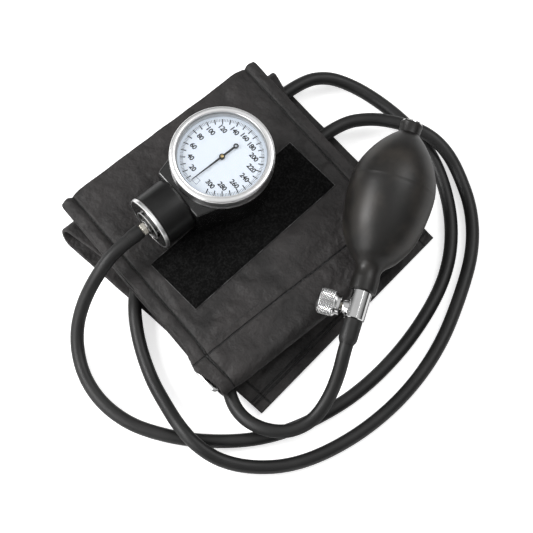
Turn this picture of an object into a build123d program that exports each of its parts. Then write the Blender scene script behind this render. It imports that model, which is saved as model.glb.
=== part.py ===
from build123d import *
import math
import os

# Aneroid sphygmomanometer, folded up as it is stored: a nylon arm cuff folded in
# four, a palm-size dial gauge lying on it, a rubber bulb with its air release
# valve, and two rubber hoses. Millimetres. The origin is on the table under the
# middle of the folded cuff, +X runs across the cuff's width, +Z is up.

# Cuff: a flat sleeve, folded over itself
CUFF_WIDTH = 148.0
LAYER = 4.0  # thickness of one folded layer
LAYER_GAP = 0.3
FLAP_THICKNESS = 4.6
FLAP_WIDTH = 150.0
FLAP_LENGTH = 156.0
FLAP_TURN = 7.0  # degrees that the lowest layer is turned by
FLAP_END = (13.4, -84.6)  # middle of the lowest layer's hemmed end
STACK_FRONT = -77.0  # outermost point of the fold under the bulb's valve
STACK_BACK = 77.0  # outermost point of the fold behind the gauge
REAR_FOLD_Y = 60.0  # axis of the fold that joins the lowest layer to the next

# Bladder inside the second layer, with a moulded neck for each hose
BLADDER_THICKNESS = 1.6
BLADDER_ROOM = 0.1
BLADDER_SIDE = 14.0  # from each side edge of the sleeve to the bag
BLADDER_Y = (-58.0, 52.0)
BLADDER_CORNER = 8.0
PORT_RADIUS = 5.6  # swelling of the sleeve round a hose neck
PORT_LENGTH = 17.0
NECK_PROUD = 0.3
NECK_LENGTH = 20.0
BULB_PORT_Y = 14.4
GAUGE_PORT_Y = 51.0

# Hook and loop patches
PATCH_THICKNESS = 1.2
LOOP_PATCH = (112.0, 38.0)
LOOP_PATCH_AT = (0.1, -4.0)
LOOP_PATCH_TURN = 4.0
HOOK_PATCH = (45.0, 100.0)
HOOK_PATCH_AT = (36.0, -14.0)

# Metal ring at the cuff's inner end
RING_WIRE = 3.0
RING_PROUD = 2.0  # from the sleeve's side edge to the wire's middle
RING_DEPTH = 18.0
RING_CORNER = 1.9
RING_SIDES = 8
RING_FRONT_Y = -70.0
RING_EYE_ROOM = 0.1

# Hoses
HOSE_DIAMETER = 8.0
HOSE_ROOM = 0.5  # above and below a hose that runs between two layers
HOSE_SIDES = 8

# Gauge: place of its pointer axis, and radii
GAUGE_AT = (8.6, 25.1)
BEZEL_SKIRT = 2.0  # from the drum's side out to the bezel's side
BEZEL_LIP = 3.0  # from the drum's side in to the bezel's inner edge
BEZEL_HEIGHT = 9.5
BEZEL_ROUND = 1.6
SEAT_STEP = 1.0  # from the drum's side in to the edges of dial, spacer and glass
DRUM_RADIUS = 28.5
DRUM_WALL = 2.0
DRUM_FLOOR = 2.0
DRUM_HEIGHT = 31.8
DRUM_EDGE = 2.0
FIT_GAP = 0.05  # between parts that are pushed together
GLASS_THICKNESS = 1.6
SPACER_HEIGHT = 3.0
SPACER_HIDDEN = 0.4  # how far the bezel's lip reaches in past the spacer
DIAL_THICKNESS = 0.8
NECK_WIDTH = 36.0
NECK_ROOT_X = -17.0  # where the neck's sides leave the drum
NECK_BASE = 2.5  # how far the neck's underside is above the drum's
NECK_HEIGHT = 25.6
NECK_EDGE = 2.0

# Pressure capsule and its housing, on an axis towards six o'clock
HOUSING_RADIUS = 16.65
HOUSING_GAP = 4.5  # from the drum's side to the housing
HOUSING_LENGTH = 19.0
HOUSING_WALL = 2.0
HOUSING_SHOULDER = 2.2
CAP_RADIUS = 17.0
CAP_RIM = 3.0
CAP_STEP_RADIUS = 9.35
CAP_STEP = 2.5
CAP_PLUG = 1.5
WASHER_THICKNESS = 0.6
CAP_EDGE = 0.5
HEX_WIDTH = 7.0
HEX_LENGTH = 3.5
BARB_RADIUS = 2.4
BARB_LENGTH = 11.0
BARB_BORE = 1.3
CAPSULE_RADIUS = 13.0
CAPSULE_NECK_RADIUS = 10.8
CAPSULE_FOLDS = 2
CAPSULE_SKIN = 0.3
CAPSULE_LENGTH = 9.4
BUTTON_RADIUS = 4.0
BUTTON_THICKNESS = 1.2
ROD_RADIUS = 1.0
ROD_FIT = 0.06

# Movement: a sector drives the pinion under the pointer
MODULE = 0.32
PINION_TEETH = 10
SECTOR_TEETH = 98  # of a full circle
SECTOR_TEETH_CUT = 15
SCALE_SWEEP = 338.4  # degrees of the pointer from zero to full scale
CENTRE_PLAY = 0.06
PIVOT_Y = 4.4
ADDENDUM = 0.28
DEDENDUM = 0.40
TOOTH_SHARE = 0.42
TIP_SHARE = 0.22
ROOT_SHARE = 0.60
PLATE_RADIUS = 20.5
PLATE_THICKNESS = 1.0
PLATE_GAP = 13.0
WINDOW_X = 9.0
WINDOW_RADIUS = 5.5
BOSS_HEIGHT = 4.0
BOSS_RADIUS = 2.6
PILLAR_RADIUS = 1.5
PILLAR_CIRCLE = 16.5
PILLAR_ANGLES = (75.0, 195.0, 315.0)
SCREW_RADIUS = 0.7
SCREW_HEAD_RADIUS = 1.5
SCREW_HEAD = 0.8
SECTOR_THICKNESS = 1.2
SECTOR_LIFT = 5.0  # above the lower plate
SECTOR_RIM = 2.0
ARM_WIDTH = 1.9
ARM_PIN_RADIUS = 0.6
ARM_PIN_TOP = 1.2  # above the rod's axis
ROD_TIP_GAP = 0.03
ARBOR_RADIUS = 0.8
PINION_ARBOR_RADIUS = 0.6
ARBOR_FIT = 0.03
PINION_HEIGHT = 3.0
SPRING_TURNS = 3
SPRING_INNER = 1.5
SPRING_PITCH = 0.8
SPRING_WIRE = 0.22
SPRING_HEIGHT = 0.5
SPRING_LIFT = 3.4  # from the sector's upper face to the spring
STUD_RADIUS = 0.5
COLLET_HEIGHT = 1.2
COLLET_LEAD = 0.2  # from the collet's underside to the spring's

# Pointer over the dial
POINTER_LENGTH = 22.4
POINTER_TAIL = 10.4
POINTER_RING_RADIUS = 1.4
POINTER_RING_HOLE = 0.85
POINTER_WIDTH = 0.9
POINTER_TIP_WIDTH = 0.35
POINTER_THICKNESS = 0.35
POINTER_BOSS_RADIUS = 1.75
POINTER_LIFT = 1.0
POINTER_CAP_RADIUS = 1.05
POINTER_CAP_HEIGHT = 0.9
DIAL_HOLE_RADIUS = 1.6

# Bulb
BULB_LOW = (20.4, -84.8, 45.6)  # mouth at the valve
BULB_HIGH = (106.8, -28.2, 57.9)  # mouth at the intake
BULB_RADIUS = 25.0
BULB_WALL = 2.6
BULB_LOW_NECK = (8.0, 15.0)  # radius and length
BULB_HIGH_NECK = (6.6, 7.0)
BULB_WIDEST = 0.56  # share of the length where it is widest
BULB_LOW_SHOULDER = (0.745, 0.28)  # shares of its radius and of its length
BULB_HIGH_SHOULDER = (0.81, 0.77)

# Intake valve in the bulb's free end
INTAKE_PLUG_RADIUS = 4.0
INTAKE_PLUG_LENGTH = 8.0
INTAKE_FLANGE = (6.2, 1.2)
INTAKE_BALL_RADIUS = 1.8
INTAKE_CHAMBER_RADIUS = 2.2
AIR_HOLE_RADIUS = 1.2
RETAINER_LENGTH = 1.0
BALL_TRAVEL = 1.0
BALL_GAP = 0.05

# Release valve
VALVE_RADIUS = 6.1
VALVE_LENGTH = 17.0
VALVE_EDGE = 0.5
SPIGOT_RADIUS = 5.2
SPIGOT_LENGTH = 10.0
SPIGOT_SCREW_RADIUS = 4.2
SPIGOT_DEPTH = 2.4
AIR_WAY_RADIUS = 1.5
OUTLET_BALL_RADIUS = 2.2
OUTLET_CHAMBER_RADIUS = 2.6
NEEDLE_AT = 11.0  # from the valve's upper end to the needle's axis
NEEDLE_RADIUS = 1.3
NEEDLE_BORE_FIT = 0.05
NEEDLE_REACH = 2.4
NEEDLE_TIP = 1.2
NEEDLE_HELD = 3.0  # length of the needle inside the stem when the valve is shut
NEEDLE_TRAVEL = 1.5
BOSS_OUT = 8.2
VALVE_BOSS_RADIUS = 4.2
STEM_RADIUS = 2.4
STEM_FIT = 0.05
STEM_START = 4.5
COLLAR_START = 9.4
COLLAR_RADIUS = 5.8
COLLAR_THICKNESS = 2.2
KNOB_RADIUS = 7.5
KNOB_END = 22.6
KNOB_CHAMFER = 1.0
KNURL_RIDGES = 36
KNURL_DEPTH = 0.35

# Heights and places that follow
LAYER_STEP = LAYER + LAYER_GAP
SECOND_Z = FLAP_THICKNESS + HOSE_DIAMETER + 2 * HOSE_ROOM + LAYER / 2
INNER_Z = SECOND_Z + LAYER_STEP
TOP_Z = INNER_Z + LAYER_STEP
CUFF_TOP = TOP_Z + LAYER / 2
GAUGE_BASE = CUFF_TOP + PATCH_THICKNESS
FRONT_FOLD_Y = STACK_FRONT + LAYER_STEP + LAYER / 2
BACK_FOLD_Y = STACK_BACK - LAYER_STEP / 2 - LAYER / 2
PORT_Z = SECOND_Z + LAYER / 2 - PORT_RADIUS
HEM_X = CUFF_WIDTH / 2
BEZEL_RADIUS = DRUM_RADIUS + BEZEL_SKIRT
BEZEL_LIP_RADIUS = DRUM_RADIUS - BEZEL_LIP
SEAT_RADIUS = DRUM_RADIUS - SEAT_STEP
HOUSING_START = -DRUM_RADIUS - HOUSING_GAP
HOUSING_END = HOUSING_START - HOUSING_LENGTH
ROD_Z = HOUSING_RADIUS
DIAL_Z = DRUM_HEIGHT
DIAL_TOP = DIAL_Z + DIAL_THICKNESS
GLASS_Z = DIAL_TOP + SPACER_HEIGHT
BEZEL_TOP = GLASS_Z + GLASS_THICKNESS + 0.9
PLATE_Z = DRUM_FLOOR + BOSS_HEIGHT
TOP_PLATE_Z = PLATE_Z + PLATE_THICKNESS + PLATE_GAP
SECTOR_Z = PLATE_Z + PLATE_THICKNESS + SECTOR_LIFT
SPRING_Z = SECTOR_Z + SECTOR_THICKNESS + SPRING_LIFT

# Gearing that follows
PINION_PITCH_RADIUS = MODULE * PINION_TEETH / 2
SECTOR_PITCH_RADIUS = MODULE * SECTOR_TEETH / 2
CENTRES = PINION_PITCH_RADIUS + SECTOR_PITCH_RADIUS + CENTRE_PLAY
PIVOT_X = -math.sqrt(CENTRES**2 - PIVOT_Y**2)
MESH_HEADING = math.degrees(math.atan2(-PIVOT_Y, -PIVOT_X))
SECTOR_SWEEP = SCALE_SWEEP * PINION_TEETH / SECTOR_TEETH
ARM_LENGTH = PIVOT_Y
ARM_HEADING = -90.0 - SECTOR_SWEEP / 2

# Routes of the two hoses' centre lines, each with a point beside every bend
GAUGE_HOSE_START = (
    GAUGE_AT[0] + HOUSING_END - CAP_RIM - CAP_STEP - HEX_LENGTH,
    GAUGE_AT[1],
    GAUGE_BASE + ROD_Z,
)
GAUGE_HOSE_END = (HEM_X + NECK_PROUD, GAUGE_PORT_Y, PORT_Z)
GAUGE_HOSE_ROUTE = [
    (-85, 22.8, 37.5),
    (-99.5, 20, 23.5),
    (-111.5, 13.5, 11.5),
    (-120.5, 2, 5.6),
    (-126.5, -13, 4.2),
    (-128, -30, 4.2),
    (-124.5, -47, 4.2),
    (-117.5, -61, 4.2),
    (-104, -79, 4.2),
    (-84, -97, 4.2),
    (-64, -109, 4.2),
    (-40, -116.5, 4.2),
    (-10, -120.5, 4.2),
    (26, -117, 4.2),
    (60, -107, 4.2),
    (84, -94, 4.2),
    (103, -75, 4.2),
    (117, -51, 4.2),
    (124.5, -27, 4.2),
    (124, -4, 4.2),
    (121, 15, 4.2),
    (115, 31.5, 6.4),
    (105.8, 44.3, 9.8),
]
BULB_HOSE_END = (HEM_X + NECK_PROUD, BULB_PORT_Y, PORT_Z)
BULB_HOSE_ROUTE = [
    (-18, -110.5, 32.5),
    (-30, -116, 22.5),
    (-43.8, -119, 16.8),
    (-58.2, -115, 14.6),
    (-68.8, -104.3, 14.6),
    (-73.1, -89.6, 12),
    (-69.6, -75, 9.1),
    (-60, -61, 9.1),
    (-41.5, -43.5, 9.1),
    (-20.5, -22, 9.1),
    (-19.5, 0.5, 9.1),
    (-34.5, 17.3, 9.1),
    (-56.5, 19.5, 9.1),
    (-73.5, 8.5, 9.1),
    (-87, -11, 6.4),
    (-97, -36, 5),
    (-101.5, -58, 9.5),
    (-104, -73, 14.6),
    (-103.5, -88, 14.6),
    (-98, -102, 9.5),
    (-86, -115.5, 5),
    (-69, -128, 4.2),
    (-47, -136, 4.2),
    (-18, -140, 4.2),
    (14, -138, 4.2),
    (46, -129, 4.2),
    (76, -113, 4.2),
    (100, -97, 4.2),
    (117, -77, 4.2),
    (126.5, -55, 5),
    (129, -40, 10),
    (126.5, -25, 14.2),
    (118, -9, 14.2),
    (107, 5, 12.5),
]
STRAIGHT_OUT = 17.0  # length that a hose runs straight from what holds it

os.makedirs("parts", exist_ok=True)


def in_gauge(shape):
    """Moves a piece drawn round the pointer's axis, on the gauge's back, to its place."""
    return Pos(GAUGE_AT[0], GAUGE_AT[1], GAUGE_BASE) * shape


def along_gauge(shape):
    """Moves a piece drawn along +Z, from the pointer's axis, on to the capsule's axis."""
    return in_gauge(Pos(0, 0, ROD_Z) * Rot(0, -90, 0) * shape)


def bulb_frame():
    """The frame on the bulb's lower mouth, with +Z along the bulb and +Y level."""
    low = Vector(*BULB_LOW)
    along = (Vector(*BULB_HIGH) - low).normalized()
    level = Vector(0, 0, 1).cross(along).normalized()
    return Plane(origin=low, x_dir=level.cross(along), z_dir=along)


def bulb_length():
    """Length of the rubber bulb from mouth to mouth."""
    return (Vector(*BULB_HIGH) - Vector(*BULB_LOW)).length


def in_bulb(shape):
    """Moves a piece drawn along +Z from the bulb's lower mouth to its place."""
    return bulb_frame().location * shape


def in_release(shape):
    """Moves a piece drawn along +Z to the needle's axis, which leaves the valve level."""
    return in_bulb(Pos(0, 0, -NEEDLE_AT) * Rot(-90, 0, 0) * shape)


def rod_of(radius, start, end):
    """A cylinder on the Z axis between two heights."""
    return Pos(0, 0, start) * Cylinder(
        radius, end - start, align=(Align.CENTER, Align.CENTER, Align.MIN)
    )


def ring_of(outer, inner, start, end):
    """A plain ring on the Z axis between two heights."""
    return rod_of(outer, start, end) - rod_of(inner, start - 1, end + 1)


def turned(outline):
    """Turns an outline of (radius, height) points about the Z axis."""
    face = make_face(Polyline(*[(r, 0, z) for r, z in outline], close=True))
    return revolve(face, Axis.Z)


def band(y_centre, z_centre, radius, forward):
    """Half ring of sleeve that folds one layer over another, open towards its layers."""
    outer = radius + LAYER / 2
    inner = radius - LAYER / 2
    ring = Rot(0, 90, 0) * ring_of(outer, inner, -HEM_X, HEM_X)
    side = 1 if forward else -1
    half = Pos(0, side * outer, 0) * Box(2 * CUFF_WIDTH, 2 * outer, 3 * outer)
    return Pos(0, y_centre, z_centre) * (ring - half)


def layer(y_from, y_to, z_centre):
    """One flat layer of the folded sleeve."""
    return Pos(0, (y_from + y_to) / 2, z_centre) * Box(
        CUFF_WIDTH, y_to - y_from, LAYER
    )


def flap_plane():
    """Plane on the table at the middle of the lowest layer's hemmed end."""
    turn = math.radians(FLAP_TURN)
    return Plane(
        origin=(FLAP_END[0], FLAP_END[1], 0),
        x_dir=(math.cos(turn), math.sin(turn), 0),
        z_dir=(0, 0, 1),
    )


def lowest_layer():
    """The layer on the table, turned a little, up to the axis of the rear fold."""
    flap = flap_plane().location * (
        Pos(0, FLAP_LENGTH / 2, FLAP_THICKNESS / 2)
        * Box(FLAP_WIDTH, FLAP_LENGTH, FLAP_THICKNESS)
    )
    behind = Pos(0, REAR_FOLD_Y + FLAP_LENGTH, 0) * Box(
        3 * FLAP_WIDTH, 2 * FLAP_LENGTH, 3 * FLAP_THICKNESS
    )
    return flap - behind


def rear_fold():
    """Half ring that joins the lowest layer to the second one."""
    outer = (SECOND_Z + LAYER / 2) / 2
    inner = (SECOND_Z - LAYER / 2 - FLAP_THICKNESS) / 2
    centre = outer
    ring = ring_of(outer, 0.01, -HEM_X, HEM_X) - Pos(
        -(FLAP_THICKNESS + inner - centre), 0, 0
    ) * rod_of(inner, -CUFF_WIDTH, CUFF_WIDTH)
    ring = Rot(0, 90, 0) * ring
    front = Pos(0, -outer, 0) * Box(2 * CUFF_WIDTH, 2 * outer, 3 * outer)
    return Pos(0, REAR_FOLD_Y, centre) * (ring - front)


def port(y):
    """Swelling of the hem round one hose neck."""
    boss = Rot(0, 90, 0) * rod_of(PORT_RADIUS, HEM_X - PORT_LENGTH, HEM_X)
    return Pos(0, y, PORT_Z) * boss


def port_hole(y):
    """Hole of one hose neck through the hem."""
    hole = Rot(0, 90, 0) * rod_of(
        HOSE_DIAMETER / 2 + BLADDER_ROOM, HEM_X - NECK_LENGTH, HEM_X + 1
    )
    return Pos(0, y, PORT_Z) * hole


def bladder_box(room):
    """The bladder's flat bag, or with room the pocket that holds it."""
    length_x = CUFF_WIDTH - 2 * BLADDER_SIDE + 2 * room
    length_y = BLADDER_Y[1] - BLADDER_Y[0] + 2 * room
    bag = Box(length_x, length_y, BLADDER_THICKNESS + 2 * room)
    bag = fillet(bag.edges().filter_by(Axis.Z), BLADDER_CORNER)
    return Pos(0, sum(BLADDER_Y) / 2, SECOND_Z) * bag


def cuff_sleeve():
    """The sewn sleeve in its four folded layers."""
    front = FRONT_FOLD_Y
    eye_y = RING_FRONT_Y + RING_DEPTH
    inner_end = eye_y - LAYER / 2
    sleeve = (
        layer(front, REAR_FOLD_Y, SECOND_Z)
        + band(front, INNER_Z, LAYER_STEP, True)
        + layer(front, BACK_FOLD_Y, TOP_Z)
        + band(BACK_FOLD_Y, (TOP_Z + INNER_Z) / 2, LAYER_STEP / 2, False)
        + layer(inner_end, BACK_FOLD_Y, INNER_Z)
        + rear_fold()
        + lowest_layer()
        + port(GAUGE_PORT_Y)
        + port(BULB_PORT_Y)
    )
    eye = Rot(0, 90, 0) * rod_of(
        RING_WIRE / 2 + RING_EYE_ROOM, -CUFF_WIDTH, CUFF_WIDTH
    )
    return (
        sleeve
        - Pos(0, eye_y, INNER_Z) * eye
        - bladder_box(BLADDER_ROOM)
        - port_hole(GAUGE_PORT_Y)
        - port_hole(BULB_PORT_Y)
    )


def bladder_neck(y):
    """Rubber neck that takes one hose out through the hem."""
    neck = Rot(0, 90, 0) * rod_of(
        HOSE_DIAMETER / 2, HEM_X - NECK_LENGTH + BLADDER_ROOM, HEM_X + NECK_PROUD
    )
    return Pos(0, y, PORT_Z) * neck


def bladder():
    """Air bag with its two necks."""
    return bladder_box(0) + bladder_neck(GAUGE_PORT_Y) + bladder_neck(BULB_PORT_Y)


def loop_patch():
    """Fuzzy patch on the top layer, which the hooks hold."""
    patch = Box(LOOP_PATCH[0], LOOP_PATCH[1], PATCH_THICKNESS)
    place = Pos(LOOP_PATCH_AT[0], LOOP_PATCH_AT[1], CUFF_TOP + PATCH_THICKNESS / 2)
    return place * Rot(0, 0, LOOP_PATCH_TURN) * patch


def hook_patch():
    """Hook patch on the lowest layer, turned with it."""
    patch = Box(HOOK_PATCH[0], HOOK_PATCH[1], PATCH_THICKNESS)
    height = FLAP_THICKNESS + PATCH_THICKNESS / 2
    return Pos(HOOK_PATCH_AT[0], HOOK_PATCH_AT[1], height) * Rot(0, 0, FLAP_TURN) * patch


def cuff_ring():
    """Wire ring that the cuff's free end is pulled back through."""
    half_x = HEM_X + RING_PROUD
    half_y = RING_DEPTH / 2
    corners = [
        (-half_x, -half_y),
        (half_x, -half_y),
        (half_x, half_y),
        (-half_x, half_y),
    ]
    line = FilletPolyline(*corners, radius=RING_CORNER, close=True)
    start = Plane(origin=line @ 0, z_dir=line % 0)
    ring = sweep(start * RegularPolygon(RING_WIRE / 2, RING_SIDES), path=line)
    return Pos(0, RING_FRONT_Y + half_y, INNER_Z) * ring


def hose_corner_radius():
    """Corner radius of a many-sided section with the area of the round hose."""
    turn = 2 * math.pi / HOSE_SIDES
    return HOSE_DIAMETER / 2 * math.sqrt(turn / math.sin(turn))


def bend_radii(points):
    """As large an arc at each inner point as its two runs allow."""
    radii = []
    for before, here, after in zip(points, points[1:], points[2:]):
        run_in = here - before
        run_out = after - here
        half_turn = math.radians(run_in.get_angle(run_out)) / 2
        shorter = min(run_in.length, run_out.length)
        radii.append(0.45 * shorter / math.tan(half_turn))
    return radii


def hose(name, points, barb):
    """A hose along a route, with a hole in its first end that goes over a barb."""
    points = [Vector(*point) for point in points]
    radii = bend_radii(points)
    line = FilletPolyline(*points, radius=radii)
    start = Plane(origin=line @ 0, z_dir=line % 0)
    section = start * RegularPolygon(hose_corner_radius(), HOSE_SIDES)
    tube = sweep(section, path=line)
    expected = math.pi * (HOSE_DIAMETER / 2) ** 2 * line.length
    print(
        f"{name}: length {line.length:.1f} mm, least bend {min(radii):.1f} mm,"
        f" volume {tube.volume / expected:.4f} of section times length"
    )
    return tube - barb


def gauge_hose():
    """Hose from the gauge to the cuff."""
    port_exit = (HEM_X + STRAIGHT_OUT, GAUGE_PORT_Y, PORT_Z)
    start = Vector(*GAUGE_HOSE_START)
    straight = start - Vector(STRAIGHT_OUT, 0, 0)
    points = [start, straight, *GAUGE_HOSE_ROUTE, port_exit, GAUGE_HOSE_END]
    return hose("gauge hose", points, inlet_barb_stem())


def bulb_hose():
    """Hose from the release valve to the cuff."""
    leave = bulb_frame()
    start = leave.origin - leave.z_dir * VALVE_LENGTH
    straight = start - leave.z_dir * STRAIGHT_OUT
    port_exit = (HEM_X + STRAIGHT_OUT, BULB_PORT_Y, PORT_Z)
    points = [start, straight, *BULB_HOSE_ROUTE, port_exit, BULB_HOSE_END]
    return hose("bulb hose", points, valve_barb_stem())


def gauge_case():
    """Black drum of the gauge with its neck, open under the dial."""
    drum = rod_of(DRUM_RADIUS, 0, DRUM_HEIGHT)
    drum = chamfer(drum.edges().sort_by(Axis.Z)[0], DRUM_EDGE)
    root = math.sqrt(DRUM_RADIUS**2 - NECK_ROOT_X**2)
    outline = Polyline(
        (NECK_ROOT_X, root),
        (HOUSING_START, NECK_WIDTH / 2),
        (HOUSING_START, -NECK_WIDTH / 2),
        (NECK_ROOT_X, -root),
        close=True,
    )
    neck = Pos(0, 0, NECK_BASE) * extrude(make_face(outline), NECK_HEIGHT)
    corners = neck.edges().filter_by(Axis.Z).sort_by(Axis.X)[:2]
    neck = fillet(corners, NECK_EDGE)
    rims = neck.faces().sort_by(Axis.Z)[-1].edges() + neck.faces().sort_by(Axis.Z)[0].edges()
    neck = chamfer(rims, NECK_EDGE / 2)
    case = drum + neck
    case -= rod_of(DRUM_RADIUS - DRUM_WALL, DRUM_FLOOR, DRUM_HEIGHT + 1)
    rod_way = rod_of(3 * ROD_RADIUS, 0, 1 - HOUSING_START)
    case -= Pos(0, 0, ROD_Z) * Rot(0, -90, 0) * rod_way
    for x, y in pillar_places():
        case += Pos(x, y, 0) * ring_of(BOSS_RADIUS, SCREW_RADIUS, DRUM_FLOOR, PLATE_Z)
    return in_gauge(case)


def pillar_places():
    """Centres of the three pillars between the plates."""
    return [
        (
            PILLAR_CIRCLE * math.cos(math.radians(angle)),
            PILLAR_CIRCLE * math.sin(math.radians(angle)),
        )
        for angle in PILLAR_ANGLES
    ]


def capsule_housing():
    """Round black housing of the pressure capsule, bored for the push rod."""
    start, end = -HOUSING_START, -HOUSING_END
    turn = 0.3 * HOUSING_SHOULDER
    body = turned([
        (0, start),
        (HOUSING_RADIUS - HOUSING_SHOULDER, start),
        (HOUSING_RADIUS - turn, start + turn),
        (HOUSING_RADIUS, start + HOUSING_SHOULDER),
        (HOUSING_RADIUS, end),
        (0, end),
    ])
    body -= rod_of(HOUSING_RADIUS - HOUSING_WALL, start + HOUSING_WALL, end + 1)
    body -= rod_of(ROD_RADIUS + ROD_FIT, start - 1, end)
    return along_gauge(body)


def cap_washer():
    """Sealing washer between the housing and its cap."""
    start = -HOUSING_END
    inner = HOUSING_RADIUS - HOUSING_WALL
    return along_gauge(
        ring_of(HOUSING_RADIUS, inner, start, start + WASHER_THICKNESS)
    )


def capsule_cap():
    """Chrome cap that closes the housing and carries the capsule."""
    start = -HOUSING_END
    plug_radius = HOUSING_RADIUS - HOUSING_WALL - FIT_GAP
    rim = rod_of(CAP_RADIUS, start + WASHER_THICKNESS, start + CAP_RIM)
    rim = chamfer(rim.edges().sort_by(Axis.Z)[-1], CAP_EDGE)
    step = rod_of(CAP_STEP_RADIUS, start + CAP_RIM, start + CAP_RIM + CAP_STEP)
    step = chamfer(step.edges().sort_by(Axis.Z)[-1], CAP_EDGE)
    plug = rod_of(plug_radius, start - CAP_PLUG, start + WASHER_THICKNESS)
    bore = rod_of(BARB_RADIUS, start - CAP_PLUG - 1, start + CAP_RIM + CAP_STEP + 1)
    return along_gauge(rim + step + plug - bore)


def inlet_barb():
    """Nickel fitting screwed into the cap: hexagon, and barb for the hose."""
    seat = -HOUSING_END + CAP_RIM + CAP_STEP
    hexagon = Pos(0, 0, seat) * extrude(
        RegularPolygon(HEX_WIDTH / 2, 6, major_radius=False), HEX_LENGTH
    )
    shank = rod_of(BARB_RADIUS - FIT_GAP, -HOUSING_END - CAP_PLUG, seat)
    stem = barb_profile(seat + HEX_LENGTH, BARB_RADIUS, BARB_LENGTH)
    bore = rod_of(BARB_BORE, 0, seat + HEX_LENGTH + BARB_LENGTH + 1)
    return along_gauge(hexagon + shank + stem - bore)


def barb_profile(start, radius, length):
    """Barb of two ridges on the Z axis, tapering from its shoulder."""
    ridges = 2
    root = radius * 0.8
    pitch = (length - 1) / ridges
    outline = [(0, start), (root, start), (root, start + 1)]
    for n in range(ridges):
        low = start + 1 + n * pitch
        outline.append((radius, low))
        outline.append((root, low + pitch))
    outline.append((0, start + length))
    return turned(outline)


def inlet_barb_stem():
    """Space of the inlet barb inside its hose."""
    start = -HOUSING_END + CAP_RIM + CAP_STEP + HEX_LENGTH
    return along_gauge(rod_of(BARB_RADIUS, start - 1, start + BARB_LENGTH + 1))


def capsule():
    """Corrugated metal capsule, fixed to the cap and free at the button."""
    base = -HOUSING_END - CAP_PLUG
    pitch = CAPSULE_LENGTH / (2 * CAPSULE_FOLDS)
    wave = [CAPSULE_NECK_RADIUS, CAPSULE_RADIUS]
    outer = [(wave[n % 2], base - n * pitch) for n in range(2 * CAPSULE_FOLDS + 1)]
    inner = [(r - CAPSULE_SKIN, z) for r, z in outer]
    inner[-1] = (inner[-1][0], outer[-1][1] + CAPSULE_SKIN)
    top = [(0, outer[-1][1]), (0, outer[-1][1] + CAPSULE_SKIN)]
    shape = turned(outer + top + list(reversed(inner)))
    return along_gauge(shape)


def button_front():
    """Distance of the button's front face from the pointer's axis."""
    return -HOUSING_END - CAP_PLUG - CAPSULE_LENGTH - BUTTON_THICKNESS


def capsule_button():
    """Disc on the capsule's free end that carries the push rod."""
    front = button_front()
    return along_gauge(rod_of(BUTTON_RADIUS, front, front + BUTTON_THICKNESS))


def arm_pin_place():
    """Centre of the pin on the sector's arm at rest."""
    heading = math.radians(ARM_HEADING)
    return (
        PIVOT_X + ARM_LENGTH * math.cos(heading),
        PIVOT_Y + ARM_LENGTH * math.sin(heading),
    )


def push_rod():
    """Rod from the capsule's button to the sector's arm."""
    tip = -arm_pin_place()[0] + ARM_PIN_RADIUS + ROD_TIP_GAP
    return along_gauge(rod_of(ROD_RADIUS, tip, button_front()))


def gear_outline(teeth, headings):
    """Points round the teeth of a gear on its own centre."""
    pitch_radius = MODULE * teeth / 2
    step = 360.0 / teeth
    shares = (
        (pitch_radius - DEDENDUM, -ROOT_SHARE / 2),
        (pitch_radius, -TOOTH_SHARE / 2),
        (pitch_radius + ADDENDUM, -TIP_SHARE / 2),
        (pitch_radius + ADDENDUM, TIP_SHARE / 2),
        (pitch_radius, TOOTH_SHARE / 2),
        (pitch_radius - DEDENDUM, ROOT_SHARE / 2),
    )
    points = []
    for heading in headings:
        for radius, share in shares:
            angle = math.radians(heading + share * step)
            points.append((radius * math.cos(angle), radius * math.sin(angle)))
    return points


def pinion_arbor():
    """Pointer's shaft with its pinion, cut from one piece."""
    step = 360.0 / PINION_TEETH
    first = MESH_HEADING + 180 + step / 2
    headings = [first + n * step for n in range(PINION_TEETH)]
    outline = gear_outline(PINION_TEETH, headings)
    middle = SECTOR_Z + SECTOR_THICKNESS / 2
    teeth = extrude(make_face(Polyline(*outline, close=True)), PINION_HEIGHT)
    teeth = Pos(0, 0, middle - PINION_HEIGHT / 2) * teeth
    shaft_top = DIAL_TOP + POINTER_LIFT + POINTER_THICKNESS
    return in_gauge(teeth + rod_of(PINION_ARBOR_RADIUS, PLATE_Z + 0.3, shaft_top))


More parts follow.
